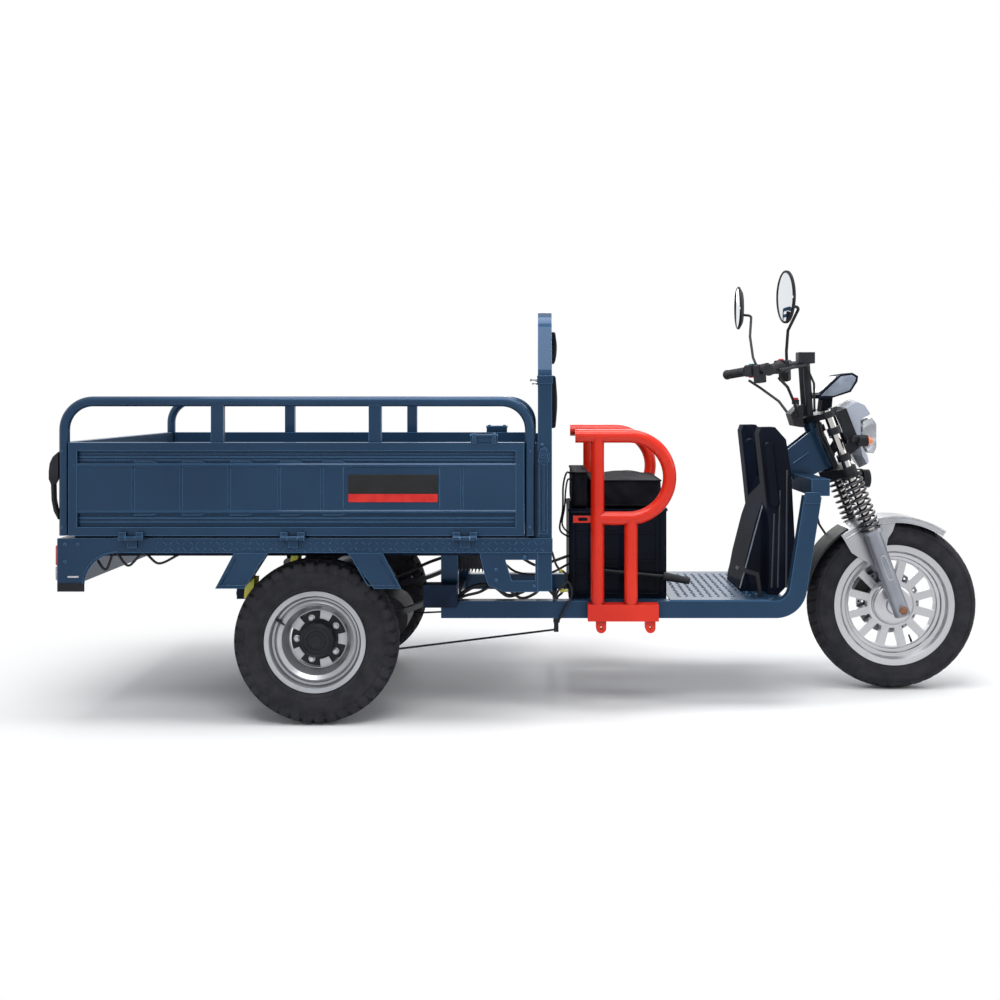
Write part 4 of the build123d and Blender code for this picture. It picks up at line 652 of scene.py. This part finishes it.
def tread_plate(name, low, high, right, up, pitch):
    """Lozenges in a chequer between two corners: each leans 45 degrees, its neighbours the other way."""
    low, high = np.asarray(low, float), np.asarray(high, float)
    right, up = np.asarray(right, float), np.asarray(up, float)
    wide, tall = abs((high - low) @ right), abs((high - low) @ up)
    columns, rows = int(wide // pitch), max(1, int(tall // pitch))
    i, j = [grid.ravel() for grid in np.meshgrid(np.arange(columns), np.arange(rows))]
    start = (low + high) / 2 - (right * (columns - 1) + up * (rows - 1)) * pitch / 2
    centres = (start + np.outer(i, right * pitch) + np.outer(j, up * pitch)) * MM
    lean = np.where((i + j) % 2, pi / 4, -pi / 4)[:, None]
    along = np.cos(lean) * right + np.sin(lean) * up
    across = -np.sin(lean) * right + np.cos(lean) * up
    shape = studs(centres, along, across, 0.82 * pitch, 0.22 * pitch, 2.0)
    return piece(name, shape, petrol, mend=False)


def cable(name, points, radius, body="frame"):
    """A cable along a smooth curve through its points: between two points, the curve is a cubic whose
    ends run in the direction of the neighbours."""
    knots = np.array([mm(*point) for point in points])
    slopes = np.gradient(knots, axis=0)
    t = np.linspace(0, 1, 12, endpoint=False)[None, :, None]
    a, b, da, db = [part[:, None] for part in (knots[:-1], knots[1:], slopes[:-1], slopes[1:])]
    path = (a * (1 + 2 * t) * (1 - t) ** 2 + da * t * (1 - t) ** 2 + b * t * t * (3 - 2 * t)
            + db * t * t * (t - 1)).reshape(-1, 3)
    path = np.concatenate([path, knots[-1:]])
    return piece(name, loft(tube(path, radius * MM, 10, up=ASKEW)), black_cable, body)


# ---- tyres
def tread_height(turn, across, lugs, kind):
    """How far the rubber stands above the groove floor, 0 to 1, at a turn angle and a share of the tread
    width from -1 to 1. Each groove is a dip of smooth sides: 1 - exp(-(distance / width)^6)."""
    def groove(distance, width):
        return 1 - np.exp(-(distance / width) ** 6)

    def from_whole(count):
        return 0.5 - np.abs(count % 1 - 0.5)

    lug = turn / (tau / lugs)
    staggered = lug + np.where(across > 0, 0.5, 0.0)
    edge = np.abs(across)
    if kind == "road":
        slants = groove(from_whole(staggered + 0.55 * edge), 0.11)
        slants = np.where((edge > 0.30) & (edge < 1.15), slants, 1.0)
        zigzag = 0.22 - 0.1 * from_whole(lug / 2 + 0.25 * np.sign(across))
        return np.minimum(slants, groove(edge - zigzag, 0.055))
    slots = np.where(edge > 0.62, groove(from_whole(staggered + 0.12 * edge), 0.15), 1.0)
    steps = groove(edge - (0.6 + 0.05 * np.sign(np.sin(2 * lug * pi))), 0.05)
    zigzag = groove(edge - 0.28 + 0.12 * from_whole(lug + 0.25), 0.06)
    bars = np.where(edge < 0.17, groove(from_whole(lug + 0.8 * across), 0.09), 1.0)
    return np.minimum.reduce([slots, steps, zigzag, bars])


def tyre(name, centre, outer, bead, lip, width, tread, depth, lugs, kind, body):
    """A tyre: a rounded section turned round the axle, with its tread cut in.

    The section's half runs from bead to crown through smooth walls; at each turn angle the tread
    band drops by depth x (1 - tread_height), and the shoulder lugs reach a little way down the wall.
    """
    shoulder = outer - 0.13 * width
    wall = bead + lip
    height = shoulder - wall
    keys = np.array([  # radius and half width, from bead to shoulder
        (bead, 0.30 * width), (bead + 0.002, 0.355 * width), (wall, 0.362 * width),
        (wall + 0.10 * height, 0.43 * width), (wall + 0.28 * height, 0.487 * width),
        (wall + 0.52 * height, 0.5 * width), (wall + 0.78 * height, 0.488 * width),
        (shoulder - 0.05 * width, 0.47 * width), (shoulder + 0.02 * width, tread / 2 * 1.02),
    ])
    share = np.linspace(0, 1, 34)
    crown = np.stack([outer - 0.115 * width * (1 - share) ** 2.2, tread / 2 * (1 - share)], -1)
    t = np.linspace(0, 1, len(keys))
    fine = np.linspace(0, 1, 44)
    wall_part = np.stack([np.interp(fine, t, keys[:, 0]), np.interp(fine, t, keys[:, 1])], -1)
    for _ in range(6):
        wall_part[1:-1] = (wall_part[:-2] + 2 * wall_part[1:-1] + wall_part[2:]) / 4
    half = np.concatenate([wall_part, crown])
    section = np.concatenate([half, (half * (1, -1))[-2::-1]])
    turns = np.linspace(0, tau, 14 * lugs, endpoint=False)
    r, y = section[:, 0][None], section[:, 1][None]
    across = y / (tread / 2)
    down = 0.16 if kind == "road" else 0.27  # how far the cuts reach down the wall, in widths
    cut = np.clip((r - (shoulder - down * width)) / (0.10 * width), 0, 1)
    reach = tread_height(turns[:, None], across, lugs, kind)
    r = r - depth * cut * (1 - reach)
    y = y * (1 - 0.6 * depth / tread * (1 - reach) * cut)
    cast = np.stack([r * np.cos(turns)[:, None], y + 0 * turns[:, None], r * np.sin(turns)[:, None]], -1)
    rings = np.concatenate([cast, cast[:1]]) + centre
    return piece(name, loft(rings, caps=False), tyre_rubber, body, sharp=50)


def wall_rings(name, centre, rings, body):
    """Fine raised rings moulded on both walls of a tyre, each at its (radius, half width)."""
    shapes = [bead_ring(centre + hand * (half - 1.2) * MM * Y_AXIS, hand * Y_AXIS, radius, 3.2, 2.4)
              for hand in HANDS for radius, half in rings]
    return piece(name, joined(shapes), tyre_rubber, body)


FRONT_TYRE = dict(outer=0.303, bead=0.203, lip=0.014, width=0.110, tread=0.084, depth=0.0045)
REAR_TYRE = dict(outer=0.2665, bead=0.1524, lip=0.011, width=0.100, tread=0.084, depth=0.008)
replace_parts(tyre("front_tyre_tread", FRONT_AXLE, lugs=44, kind="road", body="front_wheel", **FRONT_TYRE),
            "front_tyre")
for side, axle in REAR_AXLES.items():
    body = f"rear_wheel_{side}"
    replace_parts(tyre(f"rear_tyre_{side}_tread", axle, lugs=40, kind="block", body=body, **REAR_TYRE),
                f"rear_tyre_{side}")
    wall_rings(f"rear_wall_rings_{side}", axle, ((226, 48.9), (178, 44.8)), body)
wall_rings("front_wall_rings", FRONT_AXLE, ((274, 53.8), (229, 49.5)), "front_wheel")


# ---- wheels and fork
def valve(name, axle, degrees, hand, stations, body):
    """A rubber valve stem that thins along its (radius, height) stations, at one angle round an axle."""
    radius, height = np.array(stations, float).T
    stem = arc(axle / MM + hand * height[:, None] * Y_AXIS, radius, radius, degrees)
    return piece(name, loft(tube(stem * MM, np.array([4.5, 4.2, 3.4, 3.0]) * MM)), soft_rubber, body)


for side, hand in SIDES:
    centre, outward, body = REAR_AXLES[side], hand * Y_AXIS, f"rear_wheel_{side}"
    spots = arc(centre / MM - 18 * outward, 70, 70, 36 + 72 * np.arange(5)) * MM
    bolts(f"wheel_nuts_{side}", spots, outward, 9.5, body=body)
    cap = [bead_ring(centre + 23.5 * MM * outward, outward, 43, 5, 3.5),
           bead_ring(centre + 25.5 * MM * outward, outward, 30, 4, 2.2),
           knob(centre + 25 * MM * outward, outward, [(20, 0), (19, 3), (15, 4.5)], 40)]
    piece(f"hub_cap_rings_{side}", joined(cap), black_enamel, body)
    # Dark rings at the bottom of the rim's grooves: painted shade.
    groove_shade_rings = [bead_ring(centre + y * MM * outward, outward, r, 1.6, 0.7) for r, y in ((133, 21), (142, 24))]
    piece(f"rim_groove_shade_{side}", joined(groove_shade_rings), black_enamel, body)
    valve(f"valve_{side}", centre, 151, hand, ((146, 18), (138, 26), (126, 31), (112, 34)), body)

dome = [(73, 30), (73, 33), (70, 36.5), (60, 40.5), (46, 43.5), (35, 45), (31, 47), (30.5, 54), (28, 57)]
covers = [knob(FRONT_AXLE, hand * Y_AXIS, dome, 72) for hand in HANDS]
piece("front_hub_cover", joined(covers), turned_alloy, "front_wheel", sharp=60)
reach = np.where(np.arange(24) % 2, 98.0, 107.0)
holes = arc(FRONT_AXLE / MM + 36 * Y_AXIS, reach, reach, np.arange(0, 360, 15)) * MM
# Each drilled hole of the disc is a black plug: painted shade in the hole.
hole_shade_plugs = [knob(hole, Y_AXIS, [(4.2, -2.3), (4.2, 2.3)], 16) for hole in holes]
piece("disc_hole_shade", joined(hole_shade_plugs), black_enamel, "front_wheel")
valve("front_valve", FRONT_AXLE, -62, -1, ((160, 4), (150, 10), (138, 16), (126, 20)), "front_wheel")
low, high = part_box("fork_sliders")
nuts = [hex_bolt(FRONT_AXLE * (1, 0, 1) + (edge - hand * MM) * Y_AXIS, hand * Y_AXIS, 13)
        for hand, edge in ((1, high[1]), (-1, low[1]))]
piece("front_axle_nuts", joined(nuts), bronze, "steering")

# A closed spring: the pitch tightens over the first and last turn, and the wire is a round tube.
TURNS, COIL = 9.6, 33
turns = np.linspace(0, TURNS, 520)
climb = turns / TURNS
climb = climb - 0.022 * np.sin(tau * climb)
a = turns * tau
coils = [fork_point(COIL * np.cos(a), 105 * hand + COIL * np.sin(a), 302 + 191 * climb) for hand in HANDS]
coils = [loft(tube(path, 4.4 * MM, up=FORK_UP)) for path in coils]
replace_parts(piece("fork_coils", joined(coils), spring_paint, "steering"), "fork_springs")

# A raised blank badge outline on each slider: a long slot wrapped round the tube.
SLIDER = 28.3
a = np.linspace(0, tau, 97)
long = 36 * np.clip(1.6 * np.sin(a), -1, 1) + 9 * np.sin(a)
wide = 10.5 * np.cos(a) / np.maximum(1, np.abs(1.05 * np.cos(a)))
wrap = wide / SLIDER
badges = [fork_point(SLIDER * np.sin(wrap), hand * (105 + SLIDER * np.cos(wrap)), 158 + long)
          for hand in HANDS]
badges = [loft(tube(path, 1.5 * MM, 8, up=Y_AXIS), caps=False) for path in badges]
piece("slider_badge_outlines", joined(badges), zinc, "steering")

# ---- gates, skirts and floors
for side, hand in SIDES:
    body = f"{side}_gate"
    sheet = side_of(f"side_gate_{side}", hand, -476, 900, 775) * hand
    piece(f"gate_plate_{side}", side_plate(hand, -476.5, sheet, 775.5, 283, 61, 2.2, 4), black_plate, body)
    piece(f"gate_plate_band_{side}", side_plate(hand, -476.5, sheet, 732, 283, 26, 2.2, 3), red_band, body)
    tread_plate(f"skirt_tread_{side}", (-1240, 505 * hand, 558), (15, 505 * hand, 600), -hand * X_AXIS,
                Z_AXIS, 21)
tread_plate("floorboard_tread", (440, -250, 370), (760, 250, 370), X_AXIS, Y_AXIS, 27)
tread_plate("bed_tread", (-1490, -455, 604), (-60, 455, 604), X_AXIS, Y_AXIS, 34)

# ---- seat, backrest and their covers
VOXEL = 0.006
SEAM = 0.009


def places_of(mesh):
    """Every vertex's place, as an array (vertices, 3)."""
    flat = np.empty(len(mesh.vertices) * 3, np.float32)
    mesh.vertices.foreach_get("co", flat)
    return flat.reshape(-1, 3)


def blown_up(pad, rest, low, high, swollen):
    """Places of a pad's vertices after Cloth has blown it up: points near the sewn edges are held, and
    no point moves further than swollen, as length -> swollen tanh(length / swollen)."""
    near = (np.minimum(rest - low, high - rest) < SEAM).sum(1) >= 2
    pad.vertex_groups.new(name="seam").add(np.flatnonzero(near).tolist(), 1.0, "REPLACE")
    cloth = pad.modifiers.new("cloth", "CLOTH")
    cloth.settings.effector_weights.gravity = 0
    cloth.settings.use_pressure = True
    cloth.settings.uniform_pressure_force = 4
    cloth.settings.vertex_group_mass = "seam"
    cloth.settings.quality = 5
    for step in range(1, 21):
        bpy.context.scene.frame_set(step)
    graph = bpy.context.evaluated_depsgraph_get()
    blown = bpy.data.meshes.new_from_object(pad.evaluated_get(graph))
    bpy.context.scene.frame_set(1)
    pad.modifiers.clear()
    shift = places_of(blown) - rest
    length = np.linalg.norm(shift, axis=1, keepdims=True)
    shift *= np.tanh(length / swollen) * swollen / np.maximum(length, 1e-9)
    return rest + shift


def stuffed(name, low, high, swell, swollen, crown, crease):
    """A foam pad in a sewn cover. A box is remeshed at 6 mm, its edges are rounded, and Cloth blows it
    up. Then the faces are lifted by the crown along each axis, as sin(pi u) sin(pi v) over the face, and
    the cover is pulled into slanting folds whose height is crease x a product of sines, fading out at
    the seams."""
    low, high = mm(*low) + swell * MM, mm(*high) - swell * MM
    start = bpy.data.meshes.new(name + "_block")
    work = bmesh.new()
    bmesh.ops.create_cube(work, size=1.0)
    for vertex in work.verts:
        vertex.co = Vector((low + high) / 2 + np.array(vertex.co) * (high - low))
    work.to_mesh(start)
    work.free()
    block = add_object(name + "_block", start)
    remesh = block.modifiers.new("remesh", "REMESH")
    remesh.mode = "VOXEL"
    remesh.voxel_size = VOXEL
    block.modifiers.new("smooth", "SMOOTH").iterations = 6
    graph = bpy.context.evaluated_depsgraph_get()
    mesh = bpy.data.meshes.new_from_object(block.evaluated_get(graph))
    mesh.name = name
    bpy.data.objects.remove(block)
    rest = places_of(mesh)
    pad = add_object(name, mesh)
    place = blown_up(pad, rest, low, high, swollen * MM)
    share = np.clip((rest - low) / (high - low), 0, 1)
    dome = np.sin(pi * share)
    x, y, z = rest.T
    slant = tau * 0.55 * (23 * x + 17 * z + 9 * y) + 1.7 * np.sin(11 * y)
    fold = crease * np.sin(slant) * np.sin(19 * x + 31 * z)
    for axis in range(3):
        others = [i for i in range(3) if i != axis]
        near = np.clip(1 - np.minimum(share[:, axis], 1 - share[:, axis]) * 6, 0, 1)
        way = np.sign(share[:, axis] - 0.5)
        mask = dome[:, others[0]] * dome[:, others[1]]
        place[:, axis] += way * near * (crown[axis] * mask + fold * np.sqrt(mask)) * MM
    mesh.vertices.foreach_set("co", place.ravel())
    mesh.update()
    divide = pad.modifiers.new("subdivision", "SUBSURF")
    divide.levels = divide.render_levels = 1
    mesh.shade_smooth()
    mesh.materials.clear()
    mesh.materials.append(vinyl)
    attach(pad, "frame")
    return pad


def welt(name, low, high, level):
    """A piped seam round a pad: a level rounded rectangle of 5 mm cord between two corners (x, y)."""
    low, high = np.array(low, float), np.array(high, float)
    loop = outline(*(high - low), 14, 10) + (low + high) / 2
    path = np.column_stack([np.concatenate([loop, loop[:1]]), np.full(len(loop) + 1, float(level))])
    return piece(name, loft(tube(path * MM, 2.6 * MM, 10), caps=False), vinyl)


squab = stuffed("squab_cover", (160, -195, 665), (415, 195, 771), 7, 13, (3, 5, 13), 3.2)
stuffed("battery_cover_pad", (96, -195, 665), (159, 195, 797), 5, 8, (0, 3, 4), 1.2)
upper_pad = stuffed("upper_backrest_cover", (20, -150, 1172), (47, 150, 1284), 3, 8, (5, 0, 0), 0.6)
stuffed("lower_backrest_cover", (20, -210, 940), (47, 210, 1130), 3, 8, (5, 0, 0), 0.6)
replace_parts(squab, "seat_cushion")
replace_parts(upper_pad, "backrest_pads")
welt("squab_welt", (166, -189), (409, 189), 762)
welt("squab_foot_welt", (164, -191), (411, 191), 678)
welt("battery_pad_welt", (100, -191), (155, 191), 790)

# ---- mirrors
for side, hand, height, swing in (("right", -1, 1377, 18.0), ("left", 1, 1410, -2.4)):
    t = radians(swing)
    back = np.array([-cos(t), hand * sin(t), 0])
    right = np.cross(Z_AXIS, back)
    face = touch("mirrors", mm(785, 420 * hand, height) + 0.2 * back, -back)
    a = np.linspace(0, tau, 64, endpoint=False)[:, None]
    rings = [face + (w * np.cos(a) * right + h * np.sin(a) * Z_AXIS + lift * back) * MM
             for w, h, lift in ((51, 81, -1.0), (51, 81, 0.6), (49.5, 79.5, 1.2), (50.5, 80.5, 1.2))]
    piece(f"mirror_glass_{side}", loft(rings[:3]), silvered_glass, "steering")
    wire(f"mirror_rim_{side}", [rings[3] / MM], 1.9, grained_abs, "steering", closed=True)

# ---- catches, beads and bolts of the bed
for side, hand in SIDES:
    gate, body, outward = f"side_gate_{side}", f"{side}_gate", hand * Y_AXIS
    x = np.linspace(-1488, -76, 90)
    sheet = np.median([side_of(gate, hand, at, 900, 836) for at in x]) - 3.5 * hand
    for name, height, radius in (("swage_bead", 836, 8.5), ("swage_foot_bead", 689, 7.5)):
        bead = np.stack(np.broadcast_arrays(x, sheet, height), -1)
        wire(f"{name}_{side}", [bead], radius, petrol, body)
    catch = [side_plate(hand, -188, 500, 919, 84, 26, 10, 3), side_plate(hand, -219, 508, 921, 12, 34, 7, 3),
             side_plate(hand, -157, 508, 921, 12, 34, 7, 3), rod(mm(-188, 511 * hand, 930), 44, 5, 16)]
    piece(f"gate_top_catch_{side}", joined(catch), petrol, body)
    flaps = []
    for at, ends in ((-540, ((-604, 538), (-556, 456), (-466, 456), (-520, 538))),
                     (-958, ((-974, 538), (-1022, 456), (-942, 456), (-890, 538)))):
        flaps.append(on_plane(side_of("rear_mudguards", hand, at, 900, 495), ends))
    wire(f"flap_folds_{side}", flaps, 2.6, petrol)
    piece(f"deck_edge_lip_{side}", side_plate(hand, -762, 470, 607, 1470, 12, 6, 2), petrol)
    piece(f"post_cheek_{side}", side_plate(hand, -28, 470, 755, 38, 300, 6, 2), petrol)
    skirt_bolts = on_plane(504.5 * hand, ((-1516, 585), (-1476, 585), (-1516, 530), (-60, 545)))
    bolts(f"skirt_bolts_{side}", skirt_bolts * MM, outward, 5, petrol)
    piece(f"corner_foot_{side}", side_plate(hand, -1497, 505, 449, 84, 26, 2.4, 3), black_enamel)
    piece(f"corner_dash_{side}", side_plate(hand, -1490, 505, 482, 36, 6, 1.8, 2.5), zinc)
    arch = arc((-1350, 505 * hand, 461), -110, 101, np.linspace(0, 90, 20))
    wire(f"arch_bead_{side}", [arch], 2.6, petrol)
    piece(f"corner_lens_red_{side}", rear_plate(-1541, 491 * hand, 549, 20, 64, 8, 4, 2.5), red_lens)
    piece(f"corner_lens_clear_{side}", rear_plate(-1541, 491 * hand, 492, 20, 44, 8, 4, 2.5), clear_lens)
    lamp = [rear_plate(-1546, 435 * hand, 531, 78, 82, 8, 9, 3),
            rear_plate(-1552, 435 * hand, 531, 62, 26, 4.5, 6, 2)]
    piece(f"tail_lamp_dome_{side}", joined(lamp), red_lens)
    piece(f"rear_reflector_{side}", rear_plate(-1541, 435 * hand, 470, 78, 32, 6, 5, 2), reflector_grey)
    hinge_pins = [rod(mm(at, 518 * hand, 606), 31, 4.2, 14) for at in (-1302, -792, -248)]
    piece(f"hinge_pins_{side}", joined(hinge_pins), zinc)
    foot_bolts = on_plane(510 * hand, ((-1521, 640), (-1521, 880), (-43, 640), (-43, 880)))
    bolts(f"gate_bolts_{side}", foot_bolts * MM, outward, 4.5, petrol, body)
    leg = on_plane(500 * hand, ((-150, 505), (-150, 470), (-30, 452), (-5, 640), (-5, 900)))
    bolts(f"headboard_bolts_{side}", leg * MM, outward, 5, petrol)
    leaf = [(-15, 846), (-15, 868), (-9, 886), (-1, 894), (7, 894), (15, 886), (21, 868), (21, 846),
            (13, 846), (13, 866), (-7, 866), (-7, 846)]
    piece(f"post_catch_{side}", prism(leaf, 501.5 * hand, 3, 0.04), petrol)
    piece(f"headboard_sleeve_{side}", side_plate(hand, 4.5, 500, 1107, 50, 26, 2.4, 2), petrol)
    steps = [(7, -1), (7, 8), (4, 9), (4, 20), (6, 22), (6, 25)]
    piece(f"headboard_pin_{side}", knob(mm(-18, 478 * hand, 1108), -X_AXIS, steps), zinc)
    strap = [(-984, 452), (-954, 452), (-958, 396), (-976, 380), (-990, 388)]
    straps = [prism(strap, y * hand, 3, 0.05) for y in (301, 355)]
    piece(f"shackle_plates_{side}", joined(straps), chromate)

# ---- head, shields and seat box
# Steering head: a folded ridge pressed into each side of the gusset, and plates on the down tubes.
ridges, plates = [], []
for hand in HANDS:
    ridges.append([(x, side_of("steering_head", hand, x, 300, z), z)
                   for x, z in np.linspace((903, 812), (958, 852), 8)])
    out = side_of("chassis_rails", hand, 905, 420, 690) * hand
    plates.append(side_plate(hand, 906, out, 712, 54, 40, 3, 6, 0.8))
wire("gusset_ridges", ridges, 3.2, petrol)
piece("downtube_plates", joined(plates), petrol)

# Leg shields: a domed pad on each raised rib, flutes in a lighter black that paints a highlight, and a pale
# strip down the apron's rear edges as a painted highlight.
lean = radians(5.8)
leant = np.array([cos(lean), 0, sin(lean)]), np.array([-sin(lean), 0, cos(lean)])
pads = [slab(mm(786, y * hand, 784), -way * leant[0], leant[1], 36, 230, 6, 17.5, 5)
        for hand in HANDS for y, way in ((208, hand), (120, -hand))]
piece("shield_rib_pads", joined(pads), gloss_abs)
flutes = [np.linspace((top, 202 * hand, high), (top - fall, 202 * hand, 395), 3)
          for hand in HANDS for top, fall, high in ((797, 9, 650), (817, 8, 730), (841, 3, 800))]
wire("shield_flutes", flutes, 4.0, highlight_abs)
edge_highlight_lines = [on_plane(130.5 * hand, ((795, 754), (749, 590), (692, 380))) for hand in HANDS]
wire("apron_edge_highlight_strips", edge_highlight_lines, 2.6, display_panel)

# Seat box: a bead round the moulded panel of each side, and a strip under the lid.
panel = outline(292, 268, 12, 8) + (258, 508)
panels = [on_plane(200.5 * hand, [*panel, panel[0]]) for hand in HANDS]
wire("box_panel_beads", panels, 2.4, gloss_abs, closed=True)
wire("box_lid_strips", [[(96, 205 * hand, 655), (420, 205 * hand, 655)] for hand in HANDS], 2.2, gloss_abs)

# ---- mudguard, pod, switches and lamp
# Front mudguard: a bright rolled edge along each side.
rims = [arc((1264, 66 * hand, 303), r, r, np.linspace(57, 127, 60)) for hand in HANDS for r in (300.5, 318.5)]
wire("mudguard_edge_beads", rims, 1.7, zinc, "steering")

# Instrument pod: pale side panels in a black surround.
side_panel = [(992, 1056), (1064, 1125), (1103, 1131), (1118, 1122), (1116, 1110), (1095, 1076), (1038, 1056)]
panels = [prism(side_panel, 68 * hand, 1.6, 0.03) for hand in HANDS]
piece("pod_side_panels", joined(panels), display_panel, "steering")

# Bar switches, and the rocker by the ignition lock.
for name, y, way, width, material in (("cyan_button", 257, 1, 17, cyan_plastic),
                                      ("red_button", 257, -1, 20, red_plastic),
                                      ("near_button", -257, 1, 17, red_plastic)):
    centre = mm(807.5, y, 1154.3 + 21.5 * way)
    piece(name, slab(centre, X_AXIS, way * Y_AXIS, width, 15, 6, 4, 1.5), material, "steering")
for name, height, sizes, material in (("rocker_housing", 1027, (24, 18, 16, 3, 1), grained_abs),
                                      ("rocker", 1043, (18, 13, 7, 3, 1.5), red_plastic)):
    piece(name, slab(mm(912, -26, height), X_AXIS, Y_AXIS, *sizes), material, "steering")
bolts("cylinder_screws", [mm(900, y, 1204.5) for y in (-230, -202)], Z_AXIS, 3, body="steering")
piece("horn_rim", bead_ring(mm(1183, 0, 756), X_AXIS, 27, 8, 3), chrome, "steering")

# Lamp reflector, seen through the lens, with its bulb.
lamp_axis = np.array([cos(radians(7)), 0, -sin(radians(7))])
bowl = [(8, 0), (22, 5), (36, 14), (45, 26), (48, 33), (46, 34), (34, 18), (20, 9), (8, 4)]
bulb = [(9, 0), (9, 8), (7, 20), (3, 24)]
piece("lamp_reflector", knob(mm(1146, 0, 915), lamp_axis, bowl, 48), chrome, "steering")
piece("lamp_bulb", knob(mm(1148, 0, 915), lamp_axis, bulb), clear_lens, "steering")

# ---- looms, leads and hoses
# Behind the seat box, and in the rear corners.
cable("battery_lead_one", [(99, -60, 778), (84, -62, 780), (72, -67, 735), (70, -70, 650), (60, -74, 580),
                           (92, -78, 552)], 3.4)
cable("battery_lead_two", [(99, -100, 760), (87, -100, 758), (80, -99, 720), (76, -96, 660), (68, -92, 600),
                           (92, -90, 566)], 3.0)
for side, hand in SIDES:
    route = [(-1440, 470, 552), (-1400, 474, 500), (-1372, 470, 556), (-1330, 468, 512), (-1280, 470, 552),
             (-1230, 474, 520), (-1170, 466, 546)]
    cable(f"corner_loom_{side}", np.array(route) * (1, hand, 1), 4.0)

# Beside the fork's head.
starts = ((-30, -100, 545), (-38, -88, 545), (-34, -74, 540), (30, -60, 545))
for k, (forward, across, low) in enumerate(starts):
    route = [fork_point(forward - 4, across + 4, 716), fork_point(forward - 10, across, 670),
             fork_point(forward - 6, across - 5, 620), fork_point(forward - 2, across, low)]
    cable(f"fork_loom_{k + 1}", np.array(route) / MM, 5.0, "steering")


# The motor's controller under the bed, and its leads.
def upright(x0, x1, z0, z1):
    """A rectangle's corners in X and Z."""
    return [(x0, z0), (x1, z0), (x1, z1), (x0, z1)]


fins = [prism(upright(x, x + 3, 452, 548), -165, 62, 0.0) for x in range(-318, -150, 12)]
block = prism(upright(-322, -146, 462, 538), -165, 58, 0.01)
piece("controller_fins", joined([*fins, block]), cast_iron)
cable("controller_lead_one", [(-146, -170, 520), (-90, -196, 505), (-20, -200, 470), (40, -190, 486),
                              (88, -170, 500)], 5.0)
cable("controller_lead_two", [(-146, -150, 480), (-96, -190, 448), (-30, -206, 440), (30, -196, 446),
                              (88, -160, 470)], 4.0)
rail_top = touch("chassis_rails", mm(-250, -275, 420), -Z_AXIS)[2] / MM
along = (-292, -262, -215, -165, -120, -75, -30, 12, 48)
for k, (across, girth, lifts) in enumerate(((-272, 7, (4, 30, 50, 44, 14, 26, 48, 40, 5)),
                                            (-284, 5, (3, 16, 28, 52, 38, 8, 22, 56, 4)))):
    route = [(x, across, rail_top + lift) for x, lift in zip(along, lifts)]
    cable(f"rail_loom_{k + 1}", route, girth)
cable("controller_lead_three", [(-322, -150, 500), (-400, -120, 470), (-480, -90, 430),
                                (-560, -40, 390)], 5.5)
cable("valve_hose", [(34, -299, 366), (56, -306, 410), (84, -300, 430), (96, -303, 388), (70, -308, 340),
                     (52, -302, 302)], 3.6)
cable("valve_hose_back", [(30, -214, 520), (48, -220, 470), (80, -222, 440), (70, -226, 390),
                          (48, -224, 366)], 4.0)
union = knob(mm(56, -300, 402), X_AXIS, [(6, 0), (7, 2), (7, 12), (4.5, 14), (4.5, 26)])
piece("hose_fittings", joined([union, hex_bolt(mm(60, -224, 455), -Y_AXIS, 6)]), chromate)

# ---- grips and display
# Each grip's ribs are 6.5 mm apart, with flat tops and rounded valleys.
h = np.arange(4.0, 118.0, 1.0)
ribs = 17 + 1.1 * np.clip(2 * np.cos(tau * h / 6.5), -0.6, 1)
profile = [(12, -7), (18.5, -7), (19.5, -5), (19.5, 0), (17.5, 3), *zip(ribs, h), (21, 120), (22, 123),
           (22, 128), (12, 129)]
grips = [knob(mm(739, 390 * hand, 1141), (0.457, -0.885 * hand, 0.089), profile, 32) for hand in HANDS]
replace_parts(piece("ribbed_grips", joined(grips), soft_rubber, "steering"), "grips")

slope = np.array([77, 0, 72]) / np.hypot(77, 72)
centre = mm(1023, 0, 1096) + np.cross(-Y_AXIS, slope) * MM * 0.5
piece("display_window", slab(centre, -Y_AXIS, slope, 116, 86, 1.6, 16), display_panel, "steering")
